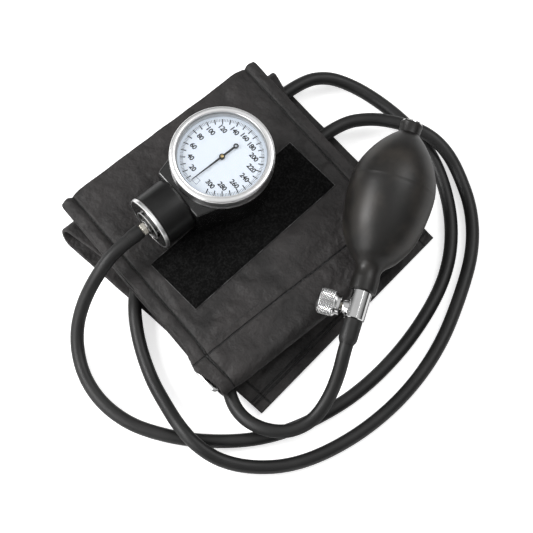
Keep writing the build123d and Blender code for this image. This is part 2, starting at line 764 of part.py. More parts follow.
def sector_gear():
    """Toothed fan with the arm and pin that the push rod moves."""
    step = 360.0 / SECTOR_TEETH
    last = int(SECTOR_TEETH_CUT * 0.2)
    headings = [
        MESH_HEADING + (last - n) * step for n in reversed(range(SECTOR_TEETH_CUT))
    ]
    teeth = gear_outline(SECTOR_TEETH, headings)
    rim_radius = SECTOR_PITCH_RADIUS - DEDENDUM - SECTOR_RIM
    middle_heading = math.radians((headings[0] + headings[-1]) / 2)
    middle = (rim_radius * math.cos(middle_heading), rim_radius * math.sin(middle_heading))
    ends = [math.radians(headings[0] - step / 2), math.radians(headings[-1] + step / 2)]
    low, high = [
        (rim_radius * math.cos(angle), rim_radius * math.sin(angle)) for angle in ends
    ]
    rim = make_face([
        Polyline(low, *teeth, high),
        ThreePointArc(high, middle, low),
    ])
    hub_radius = ARBOR_RADIUS * 3
    spoke = Rot(0, 0, math.degrees(middle_heading)) * Pos(rim_radius / 2 + 0.5, 0) * Rectangle(
        rim_radius + 1, 2 * ARM_WIDTH
    )
    arm = Rot(0, 0, ARM_HEADING) * Pos(ARM_LENGTH / 2, 0) * Rectangle(
        ARM_LENGTH, ARM_WIDTH
    )
    tip = Rot(0, 0, ARM_HEADING) * Pos(ARM_LENGTH, 0) * Circle(ARM_WIDTH / 2)
    plan = rim + spoke + arm + tip + Circle(hub_radius) - Circle(ARBOR_RADIUS)
    plate = Pos(PIVOT_X, PIVOT_Y, SECTOR_Z) * extrude(plan, SECTOR_THICKNESS)
    x, y = arm_pin_place()
    pin = Pos(x, y, 0) * rod_of(
        ARM_PIN_RADIUS, SECTOR_Z + SECTOR_THICKNESS / 2, ROD_Z + ARM_PIN_TOP
    )
    return in_gauge(plate + pin)


def sector_arbor():
    """Shaft of the sector, which turns in both plates."""
    shaft = rod_of(ARBOR_RADIUS, PLATE_Z + 0.3, TOP_PLATE_Z + PLATE_THICKNESS)
    return in_gauge(Pos(PIVOT_X, PIVOT_Y, 0) * shaft)


def plate(height):
    """One plate of the movement, with holes for both shafts and three screws."""
    disc = rod_of(PLATE_RADIUS, height, height + PLATE_THICKNESS)
    low, high = height - 1, height + PLATE_THICKNESS + 1
    disc -= rod_of(PINION_ARBOR_RADIUS + ARBOR_FIT, low, high)
    disc -= Pos(PIVOT_X, PIVOT_Y, 0) * rod_of(ARBOR_RADIUS + ARBOR_FIT, low, high)
    for x, y in pillar_places():
        disc -= Pos(x, y, 0) * rod_of(SCREW_RADIUS, low, high)
    return disc


def bottom_plate():
    """Plate that stands on the case's bosses."""
    return in_gauge(plate(PLATE_Z))


def top_plate():
    """Bridge plate with its front cut away over the sector's rim."""
    window = Pos(WINDOW_X, 0, 0) * rod_of(WINDOW_RADIUS, 0, DRUM_HEIGHT)
    return in_gauge(plate(TOP_PLATE_Z) - window)


def plate_pillars():
    """Three pillars between the plates."""
    low = PLATE_Z + PLATE_THICKNESS
    pillars = [
        Pos(x, y, 0) * ring_of(PILLAR_RADIUS, SCREW_RADIUS, low, TOP_PLATE_Z)
        for x, y in pillar_places()
    ]
    return in_gauge(Compound(pillars))


def plate_screws():
    """Three long screws through plates and pillars into the case."""
    seat = TOP_PLATE_Z + PLATE_THICKNESS
    shank = SCREW_RADIUS - FIT_GAP
    screws = []
    for x, y in pillar_places():
        screw = rod_of(shank, DRUM_FLOOR + 0.5, seat)
        screw += rod_of(SCREW_HEAD_RADIUS, seat, seat + SCREW_HEAD)
        slot = Pos(0, 0, seat + SCREW_HEAD) * Box(4 * SCREW_HEAD_RADIUS, 0.5, SCREW_HEAD)
        screws.append(Pos(x, y, 0) * (screw - slot))
    return in_gauge(Compound(screws))


def hairspring():
    """Flat spiral that takes the play out of the gears, from its collet to its stud."""
    outer = SPRING_INNER + SPRING_TURNS * SPRING_PITCH
    turns = []
    for n in range(2 * SPRING_TURNS):
        side = 1 if n % 2 == 0 else -1
        near = SPRING_INNER + n * SPRING_PITCH / 2
        far = near + SPRING_PITCH / 2
        middle = (near + far) / 2
        offset = side * (near - middle)
        turns.append(
            CenterArc((offset, 0), middle, 0 if side > 0 else 180, 180)
        )
    strip = Wire(turns)
    band_face = offset_strip(strip)
    spiral = Pos(0, 0, SPRING_Z) * extrude(band_face, SPRING_HEIGHT)
    stud = Pos(outer, 0, 0) * rod_of(STUD_RADIUS, SPRING_Z - COLLET_LEAD, TOP_PLATE_Z)
    return in_gauge(spiral + stud)


def offset_strip(line):
    """Face of the hairspring's thin strip, seen from above."""
    outer = offset(line, amount=SPRING_WIRE / 2, side=Side.BOTH)
    return make_face(outer)


def spring_collet():
    """Collet that holds the hairspring's inner end on the pinion's shaft."""
    low = SPRING_Z - COLLET_LEAD
    outer = SPRING_INNER - SPRING_WIRE / 2 - FIT_GAP
    return in_gauge(ring_of(outer, PINION_ARBOR_RADIUS, low, low + COLLET_HEIGHT))


def dial_plate():
    """Dial on the rim of the case."""
    return in_gauge(ring_of(SEAT_RADIUS, DIAL_HOLE_RADIUS, DIAL_Z, DIAL_TOP))


def dial_spacer():
    """Ring between dial and glass."""
    inner = BEZEL_LIP_RADIUS + SPACER_HIDDEN
    return in_gauge(ring_of(SEAT_RADIUS, inner, DIAL_TOP, GLASS_Z))


def dial_glass():
    """Flat glass under the bezel's lip."""
    return in_gauge(rod_of(SEAT_RADIUS, GLASS_Z, GLASS_Z + GLASS_THICKNESS))


def bezel_ring():
    """Rolled chrome ring that clamps the glass on the case."""
    step_radius = SEAT_RADIUS + FIT_GAP
    skirt_radius = DRUM_RADIUS + FIT_GAP
    low = BEZEL_TOP - BEZEL_HEIGHT
    glass_top = GLASS_Z + GLASS_THICKNESS
    outline = [
        (skirt_radius, low),
        (BEZEL_RADIUS - 0.6, low),
        (BEZEL_RADIUS, low + 0.8),
        (BEZEL_RADIUS, BEZEL_TOP - BEZEL_ROUND),
        (BEZEL_RADIUS - 0.5 * BEZEL_ROUND, BEZEL_TOP - 0.35 * BEZEL_ROUND),
        (BEZEL_RADIUS - 1.4 * BEZEL_ROUND, BEZEL_TOP),
        (BEZEL_LIP_RADIUS + 0.5, BEZEL_TOP - 0.2),
        (BEZEL_LIP_RADIUS, glass_top + FIT_GAP),
        (step_radius, glass_top + FIT_GAP),
        (step_radius, DIAL_Z + FIT_GAP),
        (skirt_radius, DIAL_Z + FIT_GAP),
    ]
    return in_gauge(turned(outline))


def pointer():
    """Pointer at zero, towards six o'clock, with its ringed tail."""
    blade = make_face(Polyline(
        (0, POINTER_WIDTH / 2),
        (-POINTER_LENGTH, POINTER_TIP_WIDTH / 2),
        (-POINTER_LENGTH, -POINTER_TIP_WIDTH / 2),
        (0, -POINTER_WIDTH / 2),
        close=True,
    ))
    tail = Pos(POINTER_TAIL / 2, 0) * Rectangle(POINTER_TAIL, POINTER_WIDTH)
    ring = Pos(POINTER_TAIL, 0) * Circle(POINTER_RING_RADIUS)
    hole = Pos(POINTER_TAIL, 0) * Circle(POINTER_RING_HOLE)
    boss = Circle(POINTER_BOSS_RADIUS)
    plan = blade + tail + ring + boss - hole - Circle(PINION_ARBOR_RADIUS)
    height = DIAL_TOP + POINTER_LIFT
    return in_gauge(Pos(0, 0, height) * extrude(plan, POINTER_THICKNESS))


def pointer_cap():
    """Brass cap on the end of the pointer's shaft."""
    low = DIAL_TOP + POINTER_LIFT + POINTER_THICKNESS
    cap = rod_of(POINTER_CAP_RADIUS, low, low + POINTER_CAP_HEIGHT)
    return in_gauge(chamfer(cap.edges().sort_by(Axis.Z)[-1], 0.3))


def bulb_side(wall, low_radius, high_radius):
    """Arcs from neck to neck, smooth at both shoulders, a wall inside the outer skin."""
    length = bulb_length()
    widest = (BULB_RADIUS - wall, 0, BULB_WIDEST * length)
    low_end = (low_radius, 0, BULB_LOW_NECK[1])
    high_end = (high_radius, 0, length - BULB_HIGH_NECK[1])
    halves = [(BULB_LOW_SHOULDER, low_end, -1), (BULB_HIGH_SHOULDER, high_end, 1)]
    arcs = []
    for (radius_share, length_share), end, way in halves:
        shoulder = (radius_share * BULB_RADIUS - wall, 0, length_share * length)
        belly = TangentArc(widest, shoulder, tangent=(0, 0, way))
        arcs.append(belly)
        arcs.append(TangentArc(shoulder, end, tangent=belly % 1))
    return arcs


def bulb_neck(bore, radius, mouth, root):
    """Sides and mouth of one neck, as a line from its bore to its outer skin."""
    return Polyline((bore, 0, root), (bore, 0, mouth), (radius, 0, mouth), (radius, 0, root))


def bulb():
    """Hollow rubber bulb with a neck at each end."""
    length = bulb_length()
    low_radius, low_length = BULB_LOW_NECK
    high_radius, high_length = BULB_HIGH_NECK
    profile = make_face([
        *bulb_side(0, low_radius, high_radius),
        *bulb_side(BULB_WALL, SPIGOT_RADIUS, INTAKE_PLUG_RADIUS),
        bulb_neck(SPIGOT_RADIUS, low_radius, 0, low_length),
        bulb_neck(INTAKE_PLUG_RADIUS, high_radius, length, length - high_length),
    ])
    return in_bulb(revolve(profile, Axis.Z))


def intake_body():
    """Plug of the intake valve in the bulb's free end."""
    top = bulb_length()
    low = top - INTAKE_PLUG_LENGTH
    flange_radius, flange = INTAKE_FLANGE
    plug = rod_of(INTAKE_PLUG_RADIUS, low, top)
    head = rod_of(flange_radius, top, top + flange)
    head = chamfer(head.edges().sort_by(Axis.Z)[-1], 0.4)
    body = plug + head
    body -= rod_of(INTAKE_CHAMBER_RADIUS, low - 1, intake_seat())
    body -= rod_of(AIR_HOLE_RADIUS, low, top + flange + 1)
    return in_bulb(body)


def intake_floor():
    """Height of the retainer's upper face, which the ball lies on."""
    return bulb_length() - INTAKE_PLUG_LENGTH + RETAINER_LENGTH


def intake_seat():
    """Height of the seat that the ball closes."""
    return intake_floor() + 2 * INTAKE_BALL_RADIUS + BALL_TRAVEL + 2 * BALL_GAP


def intake_ball():
    """Check ball of the intake, lying on its retainer."""
    height = intake_floor() + INTAKE_BALL_RADIUS + BALL_GAP
    return in_bulb(Pos(0, 0, height) * Sphere(INTAKE_BALL_RADIUS))


def intake_retainer():
    """Ring that keeps the ball in the intake plug."""
    low = bulb_length() - INTAKE_PLUG_LENGTH
    return in_bulb(
        ring_of(INTAKE_CHAMBER_RADIUS, AIR_HOLE_RADIUS, low, low + RETAINER_LENGTH)
    )


def outlet_floor():
    """Height of the lower end of the outlet ball's chamber."""
    room = 2 * OUTLET_BALL_RADIUS + BALL_TRAVEL + 2 * BALL_GAP
    return -SPIGOT_DEPTH - room


def bulb_spigot():
    """Barbed spigot screwed into the valve, which the bulb is pushed over."""
    spigot = rod_of(SPIGOT_RADIUS, 0, SPIGOT_LENGTH)
    spigot = chamfer(spigot.edges().sort_by(Axis.Z)[-1], 0.8)
    spigot += rod_of(SPIGOT_SCREW_RADIUS - FIT_GAP, -SPIGOT_DEPTH, 0)
    spigot -= rod_of(AIR_WAY_RADIUS, -SPIGOT_DEPTH - 1, SPIGOT_LENGTH + 1)
    return in_bulb(spigot)


def outlet_ball():
    """Check ball between bulb and hose, at the lower end of its chamber."""
    height = outlet_floor() + OUTLET_BALL_RADIUS + BALL_GAP
    return in_bulb(Pos(0, 0, height) * Sphere(OUTLET_BALL_RADIUS))


def valve_body():
    """Chrome body of the release valve, with its side boss and hose barb."""
    body = rod_of(VALVE_RADIUS, -VALVE_LENGTH, 0)
    body = chamfer(body.edges().filter_by(GeomType.CIRCLE), VALVE_EDGE)
    boss = Pos(0, 0, -NEEDLE_AT) * Rot(-90, 0, 0) * rod_of(VALVE_BOSS_RADIUS, 0, BOSS_OUT)
    stem = Pos(0, 0, -VALVE_LENGTH) * Rot(180, 0, 0) * barb_profile(
        0, BARB_RADIUS, BARB_LENGTH
    )
    needle_way = Pos(0, 0, -NEEDLE_AT) * Rot(-90, 0, 0) * (
        rod_of(NEEDLE_RADIUS + NEEDLE_BORE_FIT, 0, BOSS_OUT)
        + rod_of(STEM_RADIUS + STEM_FIT, STEM_START - 0.5, BOSS_OUT + 1)
    )
    air_way = (
        rod_of(SPIGOT_SCREW_RADIUS, -SPIGOT_DEPTH, 1)
        + rod_of(OUTLET_CHAMBER_RADIUS, outlet_floor(), -SPIGOT_DEPTH)
        + rod_of(BARB_BORE, -VALVE_LENGTH - BARB_LENGTH - 1, outlet_floor())
    )
    return in_bulb(body + boss + stem - needle_way - air_way)


def valve_barb_stem():
    """Space of the valve's barb inside its hose."""
    low = -VALVE_LENGTH - BARB_LENGTH - 1
    return in_bulb(rod_of(BARB_RADIUS, low, -VALVE_LENGTH + 1))


def needle():
    """Needle that closes the release hole, drawn back into the stem by its thread."""
    tip = Pos(0, 0, NEEDLE_REACH) * Cone(
        0.3,
        NEEDLE_RADIUS,
        NEEDLE_TIP,
        align=(Align.CENTER, Align.CENTER, Align.MIN),
    )
    shank = rod_of(NEEDLE_RADIUS, NEEDLE_REACH + NEEDLE_TIP, STEM_START + NEEDLE_HELD)
    return in_release(tip + shank)


def release_stem():
    """Hollow stem of the knob, whose inner thread draws the needle back."""
    room = STEM_START + NEEDLE_HELD + NEEDLE_TRAVEL
    bore = rod_of(NEEDLE_RADIUS + NEEDLE_BORE_FIT, STEM_START - 1, room)
    return in_release(rod_of(STEM_RADIUS, STEM_START, COLLAR_START) - bore)


def release_collar():
    """Plain collar behind the knob."""
    collar = rod_of(COLLAR_RADIUS, COLLAR_START, COLLAR_START + COLLAR_THICKNESS)
    return in_release(chamfer(collar.edges().filter_by(GeomType.CIRCLE), 0.4))


def release_knob():
    """Knurled thumb knob with plain chamfered ends."""
    low = COLLAR_START + COLLAR_THICKNESS
    core = rod_of(KNOB_RADIUS - KNURL_DEPTH, low, KNOB_END)
    core = chamfer(core.edges().filter_by(GeomType.CIRCLE), KNOB_CHAMFER)
    points = []
    for n in range(2 * KNURL_RIDGES):
        radius = KNOB_RADIUS if n % 2 == 0 else KNOB_RADIUS - KNURL_DEPTH
        angle = math.pi * n / KNURL_RIDGES
        points.append((radius * math.cos(angle), radius * math.sin(angle)))
    ridges = extrude(
        make_face(Polyline(*points, close=True)), KNOB_END - low - 3 * KNOB_CHAMFER
    )
    return in_release(core + Pos(0, 0, low + 1.5 * KNOB_CHAMFER) * ridges)


PIECES = {
    "cuff_sleeve": cuff_sleeve,
    "bladder": bladder,
    "loop_patch": loop_patch,
    "hook_patch": hook_patch,
    "cuff_ring": cuff_ring,
    "gauge_hose": gauge_hose,
    "bulb_hose": bulb_hose,
    "gauge_case": gauge_case,
    "capsule_housing": capsule_housing,
    "cap_washer": cap_washer,
    "capsule_cap": capsule_cap,
    "inlet_barb": inlet_barb,
    "capsule": capsule,
    "capsule_button": capsule_button,
    "push_rod": push_rod,
    "bottom_plate": bottom_plate,
    "top_plate": top_plate,
    "plate_pillars": plate_pillars,
    "plate_screws": plate_screws,
    "sector_gear": sector_gear,
    "sector_arbor": sector_arbor,
    "pinion_arbor": pinion_arbor,
    "hairspring": hairspring,
    "spring_collet": spring_collet,
    "dial_plate": dial_plate,
    "dial_spacer": dial_spacer,
    "dial_glass": dial_glass,
    "bezel_ring": bezel_ring,
    "pointer": pointer,
    "pointer_cap": pointer_cap,
    "bulb": bulb,
    "intake_body": intake_body,
    "intake_ball": intake_ball,
    "intake_retainer": intake_retainer,
    "bulb_spigot": bulb_spigot,
    "valve_body": valve_body,
    "outlet_ball": outlet_ball,
    "needle": needle,
    "release_stem": release_stem,
    "release_collar": release_collar,
    "release_knob": release_knob,
}

for name, make in PIECES.items():
    export_step(make(), f"parts/{name}.step")
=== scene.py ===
import logging
import math
from dataclasses import dataclass, field
from enum import Enum
from typing import Sequence

import bmesh
import bpy
from mathutils import Matrix, Vector, noise


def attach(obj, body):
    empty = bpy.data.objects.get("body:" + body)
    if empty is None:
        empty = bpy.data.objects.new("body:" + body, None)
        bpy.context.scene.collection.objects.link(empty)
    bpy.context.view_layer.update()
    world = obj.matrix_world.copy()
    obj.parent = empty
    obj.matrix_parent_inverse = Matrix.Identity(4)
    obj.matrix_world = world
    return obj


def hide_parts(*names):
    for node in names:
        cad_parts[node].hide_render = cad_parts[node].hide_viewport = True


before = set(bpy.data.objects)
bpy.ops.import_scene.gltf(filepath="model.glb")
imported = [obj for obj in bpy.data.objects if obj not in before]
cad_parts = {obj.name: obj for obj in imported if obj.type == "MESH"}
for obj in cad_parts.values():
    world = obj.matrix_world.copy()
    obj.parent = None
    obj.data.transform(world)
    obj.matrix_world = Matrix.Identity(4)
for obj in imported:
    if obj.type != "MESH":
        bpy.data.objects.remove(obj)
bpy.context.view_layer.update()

# Looks of the aneroid sphygmomanometer. Lengths are in millimetres up to the
# moment a mesh is finished, and the frame is the one of the solids: the origin
# is on the table under the middle of the folded cuff.

LOG = logging.getLogger("sphygmomanometer")
MM = 0.001
EDGES_SHARPER_THAN = math.radians(28)
Point2 = tuple[float, float]
Point3 = tuple[float, float, float]
Colour = tuple[float, float, float, float]
Shape = bmesh.types.BMesh
Material = bpy.types.Material


class Body(Enum):
    """Rigid bodies that a piece can ride on."""

    BASE = "base"
    POINTER = "pointer_group"
    KNOB = "knob"


def grey(level: float, warmth: float = 0.0) -> Colour:
    """A grey, a little warm for a positive warmth and cool for a negative one."""
    return (level * (1 + warmth), level, level * (1 - warmth), 1.0)


# Shader maths


class Link:
    """An output socket that joins other sockets and numbers by Python's operators."""

    def __init__(self, graph: "Graph", socket: bpy.types.NodeSocket) -> None:
        """Wraps an output of one of the graph's nodes."""
        self.graph = graph
        self.socket = socket

    def _math(self, operation: str, *values: "Link | float") -> "Link":
        """One Math node.

        Args:
            operation: Blender's name of the operation.
            values: its inputs in order.

        Returns:
            The node's result.
        """
        return self.graph.node(
            "ShaderNodeMath", {"operation": operation}, dict(enumerate(values))
        )

    def __add__(self, other: "Link | float") -> "Link":
        """This plus other."""
        return self._math("ADD", self, other)

    def __sub__(self, other: "Link | float") -> "Link":
        """This less other."""
        return self._math("SUBTRACT", self, other)

    def __rsub__(self, other: float) -> "Link":
        """A number less this."""
        return self._math("SUBTRACT", other, self)

    def __mul__(self, other: "Link | float") -> "Link":
        """This times other."""
        return self._math("MULTIPLY", self, other)

    __radd__ = __add__
    __rmul__ = __mul__

    def sine(self) -> "Link":
        """Sine of this, in radians."""
        return self._math("SINE", self)

    def size(self) -> "Link":
        """This without its sign."""
        return self._math("ABSOLUTE", self)

    def least(self, other: "Link") -> "Link":
        """The lesser of this and another."""
        return self._math("MINIMUM", self, other)

    def band(self, low: float, high: float) -> "Link":
        """This, smoothly mapped on 0 to 1.

        Args:
            low: the value that becomes 0.
            high: the value that becomes 1.

        Returns:
            The mapped value.
        """
        return self.graph.node(
            "ShaderNodeMapRange",
            {"interpolation_type": "SMOOTHSTEP"},
            {"Value": self, "From Min": low, "From Max": high},
        )


class Graph:
    """A material's node tree under construction."""

    def __init__(self, name: str) -> None:
        """Starts a material.

        Args:
            name: what the material is called.
        """
        self.material = bpy.data.materials.new(name)
        self.material.use_nodes = True
        self.tree = self.material.node_tree
        self.shader = self.tree.nodes["Principled BSDF"]

    def node(
        self,
        kind: str,
        settings: dict[str, object],
        inputs: dict[int | str, object],
        output: int | str = 0,
    ) -> Link:
        """Adds one node.

        Args:
            kind: Blender's node type.
            settings: properties set first.
            inputs: values or links by socket.
            output: the socket that is returned.

        Returns:
            The chosen output.
        """
        made = self.tree.nodes.new(kind)
        for key, value in settings.items():
            setattr(made, key, value)
        for key, value in inputs.items():
            self.feed(made.inputs[key], value)
        return Link(self, made.outputs[output])

    def feed(self, socket: bpy.types.NodeSocket, value: object) -> None:
        """Links a socket, or sets its value.

        Args:
            socket: the input.
            value: a link, or what the input is set to.
        """
        if isinstance(value, Link):
            self.tree.links.new(value.socket, socket)
        else:
            socket.default_value = value

    def place(self, kind: str = "Object") -> Link:
        """Coordinates on the piece: Object or UV."""
        return self.node("ShaderNodeTexCoord", {}, {}, kind)

    def grain(self, per_metre: float, detail: float = 3.0, place: Link | None = None) -> Link:
        """Noise from 0 to 1.

        Args:
            per_metre: how many grains to a metre.
            detail: octaves of finer grain.
            place: coordinates, the piece's own without it.

        Returns:
            The noise's value.
        """
        return self.node(
            "ShaderNodeTexNoise",
            {},
            {"Vector": place or self.place(), "Scale": per_metre, "Detail": detail},
        )

    def mix(self, share: Link, first: Colour | Link, second: Colour | Link) -> Link:
        """A colour between two.

        Args:
            share: 0 for the first colour up to 1 for the second.
            first: the first colour.
            second: the second colour.

        Returns:
            The mixed colour.
        """
        return self.node(
            "ShaderNodeMix", {"data_type": "RGBA"}, {0: share, 6: first, 7: second}, 2
        )

    def bump(self, height: Link, depth: float, below: Link | None = None) -> Link:
        """A normal bent by a height.

        Args:
            height: the height, from 0 to 1.
            depth: how deep 1 is, in metres.
            below: a coarser bump under it.

        Returns:
            The normal.
        """
        inputs = {"Height": height, "Distance": depth, "Strength": 1.0}
        if below is not None:
            inputs["Normal"] = below
        return self.node("ShaderNodeBump", {}, inputs)

    def surface(self, **inputs: object) -> Material:
        """Feeds the shader's sockets and ends the material.

        Args:
            inputs: values or links by socket, written with _ for a space.

        Returns:
            The material.
        """
        for key, value in inputs.items():
            self.feed(self.shader.inputs[key.replace("_", " ")], value)
        return self.material


# Finishes


@dataclass(frozen=True)
class Nylon:
    """Woven nylon cloth: fine plain weave, random tone with painted shade of its crumples, painted
    shade along its seams.
    """

    name: str
    dark: Colour = (0.0140, 0.0128, 0.0126, 1.0)
    light: Colour = (0.0340, 0.0305, 0.0300, 1.0)
    thread_pitch: float = 0.8 * MM
    side_seams: tuple[float, ...] = ()
    cross_seams: tuple[float, ...] = ()
    seam_width: float = 0.7 * MM
    seam_depth: float = 0.7 * MM
    patches_per_metre: float = 22.0
    crumples_per_metre: float = 95.0
    crumple_depth: float = 3.0 * MM
    weave_depth: float = 0.05 * MM

    def material(self) -> Material:
        """Makes the cloth's material, on its UV map in metres.

        Returns:
            The material.
        """
        graph = Graph(self.name)
        cloth = graph.place("UV")
        split = "ShaderNodeSeparateXYZ"
        across, along = (graph.node(split, {}, {0: cloth}, axis) for axis in (0, 1))
        turns = math.tau / self.thread_pitch
        weave = (across * turns).sine() * (along * turns).sine() * 0.5 + 0.5
        gaps = [(across.size() - place * MM).size() for place in self.side_seams]
        gaps += [(along - place * MM).size() for place in self.cross_seams]
        patches = graph.grain(self.patches_per_metre)
        crumple = graph.grain(self.crumples_per_metre, 4.0)
        # Painted shade: the colour mixes random patches with the crumple height that also bends
        # the normal, so the crumples' hollows are painted darker.
        shade = (patches * 0.7 + crumple * 0.3).band(0.35, 0.65)
        colour = graph.mix(shade, self.dark, self.light)
        soft = graph.bump(crumple, self.crumple_depth)
        # Painted shade: along each seam the colour is darkened to grey(0.005) over the seam's
        # hollow, besides its bump.
        for gap in gaps:
            painted_groove_shade = gap.band(0.2 * MM, self.seam_width)
            colour = graph.mix(painted_groove_shade, grey(0.005), colour)
            soft = graph.bump(painted_groove_shade, self.seam_depth, soft)
        return graph.surface(
            Base_Color=graph.mix(weave * 0.35, colour, grey(0.012)),
            Roughness=0.50 + 0.16 * patches,
            Normal=graph.bump(weave, self.weave_depth, soft),
            Specular_IOR_Level=0.35,
            Sheen_Weight=0.05,
            Sheen_Roughness=0.4,
        )


@dataclass(frozen=True)
class Pile:
    """Fuzzy fastening tape: dark speckled pile that swallows light."""

    name: str
    dark: Colour = grey(0.002)
    light: Colour = grey(0.011)
    tufts_per_metre: float = 900.0
    tuft_depth: float = 0.9 * MM

    def material(self) -> Material:
        """Makes the pile's material.

        Returns:
            The material.
        """
        graph = Graph(self.name)
        tufts = graph.grain(self.tufts_per_metre, 2.0)
        tangle = graph.grain(self.tufts_per_metre / 4, 3.0)
        height = tufts * 0.65 + tangle * 0.35
        return graph.surface(
            Base_Color=graph.mix(height.band(0.42, 0.66), self.dark, self.light),
            Roughness=0.88 + 0.1 * tangle,
            Normal=graph.bump(height, self.tuft_depth),
            Specular_IOR_Level=0.1,
        )


@dataclass(frozen=True)
class Rubber:
    """Moulded black rubber with a dusty bloom."""

    name: str
    body: Colour = grey(0.010, 0.02)
    bloom: Colour = grey(0.022, 0.10)
    roughness: float = 0.46
    bloom_per_metre: float = 60.0
    pores_per_metre: float = 2200.0
    pore_depth: float = 0.03 * MM

    def material(self) -> Material:
        """Makes the rubber's material.

        Returns:
            The material.
        """
        graph = Graph(self.name)
        cloud = graph.grain(self.bloom_per_metre, 5.0)
        skin = graph.grain(self.pores_per_metre, 2.0)
        return graph.surface(
            Base_Color=graph.mix(cloud.band(0.38, 0.72), self.body, self.bloom),
            Roughness=self.roughness + 0.12 * cloud + 0.06 * skin,
            Normal=graph.bump(skin, self.pore_depth),
            Specular_IOR_Level=0.42,
        )


@dataclass(frozen=True)
class Paint:
    """Stoved paint with a faint orange peel and dust spread at random."""

    name: str
    base: Colour
    dust: Colour
    roughness: float = 0.25
    coat: float = 0.4
    gloss: float = 0.5
    peel_per_metre: float = 700.0
    peel_depth: float = 0.02 * MM
    haze_per_metre: float = 90.0

    def material(self) -> Material:
        """Makes the paint's material.

        Returns:
            The material.
        """
        graph = Graph(self.name)
        peel = graph.grain(self.peel_per_metre, 1.0)
        haze = graph.grain(self.haze_per_metre, 4.0)
        return graph.surface(
            Base_Color=graph.mix(haze.band(0.45, 0.75), self.base, self.dust),
            Roughness=self.roughness + 0.10 * haze,
            Normal=graph.bump(peel, self.peel_depth),
            Specular_IOR_Level=self.gloss,
            Coat_Weight=self.coat,
            Coat_Roughness=0.12,
        )


@dataclass(frozen=True)
class Metal:
    """Plated or plain metal with fine wear."""

    name: str
    colour: Colour
    tarnish: Colour
    roughness: float = 0.10
    scratch: float = 0.08
    wear_per_metre: float = 70.0
    lines_per_metre: float = 900.0
    line_depth: float = 0.001 * MM

    def material(self) -> Material:
        """Makes the metal's material.

        Returns:
            The material.
        """
        graph = Graph(self.name)
        wear = graph.grain(self.wear_per_metre, 2.0)
        fine = graph.grain(self.lines_per_metre, 2.0)
        return graph.surface(
            Base_Color=graph.mix(wear.band(0.50, 0.80), self.colour, self.tarnish),
            Metallic=1.0,
            Roughness=self.roughness + self.scratch * wear,
            Normal=graph.bump(fine, self.line_depth),
        )


@dataclass(frozen=True)
class Knurling:
    """Plated diamond knurl, on a UV map in diamonds: painted highlight on its points, painted
    shade in its hollows.
    """

    name: str
    # The two colours are painted light: a highlight colour for the diamonds' tips and a shade
    # colour for the hollows between them.
    point: Colour = grey(0.86)
    painted_groove_shade: Colour = grey(0.05)
    depth: float = 0.15 * MM
    wear_per_metre: float = 300.0

    def material(self) -> Material:
        """Makes the knurl's material.

        Returns:
            The material.
        """
        graph = Graph(self.name)
        split, knurl = "ShaderNodeSeparateXYZ", graph.place("UV")
        turn, rise = (graph.node(split, {}, {0: knurl}, axis) for axis in (0, 1))
        ridges = [
            (way * math.pi + math.pi / 2).sine().size() for way in (turn + rise, turn - rise)
        ]
        height = ridges[0].least(ridges[1])
        wear = graph.grain(self.wear_per_metre, 2.0)
        return graph.surface(
            # The colour follows the knurl's height: painted highlight on the points, painted shade
            # in the hollows.
            Base_Color=graph.mix(height.band(0.10, 0.60), self.painted_groove_shade, self.point),
            Metallic=1.0,
            Roughness=0.16 + 0.08 * wear,
            Normal=graph.bump(height, self.depth),
        )


@dataclass(frozen=True)
class DialFace:
    """Printed dial card: matt white, a little blue, greyer towards its rim by painted shade from
    the bezel, and lit by a painted emission of its own.
    """

    name: str
    centre: Point2
    middle: Colour = (0.91, 0.95, 1.0, 1.0)
    # rim, with the two radii after it, is painted shade of the bezel on the card's outer band.
    rim: Colour = (0.66, 0.72, 0.80, 1.0)
    painted_shade_starts: float = 21.0 * MM
    painted_shade_ends: float = 28.0 * MM
    # Painted light: strength of the card's own emission, though the card is no lamp.
    painted_light_glow: float = 0.22
    fibres_per_metre: float = 900.0

    def material(self) -> Material:
        """Makes the card's material.

        Returns:
            The material.
        """
        graph = Graph(self.name)
        offset = (-self.centre[0] * MM, -self.centre[1] * MM, 0.0)
        centred = graph.node(
            "ShaderNodeMapping", {}, {"Vector": graph.place(), "Location": offset}
        )
        flat = graph.node(
            "ShaderNodeVectorMath",
            {"operation": "MULTIPLY"},
            {0: centred, 1: (1.0, 1.0, 0.0)},
        )
        away = graph.node("ShaderNodeVectorMath", {"operation": "LENGTH"}, {0: flat}, 1)
        card = graph.grain(self.fibres_per_metre, 3.0)
        # Painted shade: greyer from the first radius out to the second, with the fibres' random
        # tone.
        shade = away.band(self.painted_shade_starts, self.painted_shade_ends) + 0.05 * card
        return graph.surface(
            Base_Color=graph.mix(shade, self.middle, self.rim),
            Roughness=0.50 + 0.10 * card,
            # Painted light: the card emits its own colour, though it is no lamp.
            Emission_Color=self.middle,
            Emission_Strength=self.painted_light_glow,
        )


@dataclass(frozen=True)
class Pane:
    """Clear flat glass that only adds a soft reflection."""

    name: str
    smears_per_metre: float = 120.0
    index: float = 1.45

    def material(self) -> Material:
        """Makes the glass's material.

        Returns:
            The material: see-through, with gloss by the angle of view.
        """
        graph = Graph(self.name)
        smear = graph.grain(self.smears_per_metre, 3.0)
        gloss = graph.node(
            "ShaderNodeBsdfGlossy", {}, {"Roughness": 0.04, "Color": grey(0.9)}
        )
        clear = graph.node("ShaderNodeBsdfTransparent", {}, {"Color": grey(0.97, -0.01)})
        edge_on = graph.node("ShaderNodeFresnel", {}, {"IOR": self.index})
        share = edge_on * 0.6 + 0.01 * smear
        both = graph.node("ShaderNodeMixShader", {}, {0: share, 1: clear, 2: gloss})
        graph.feed(graph.tree.nodes["Material Output"].inputs["Surface"], both)
        return graph.material


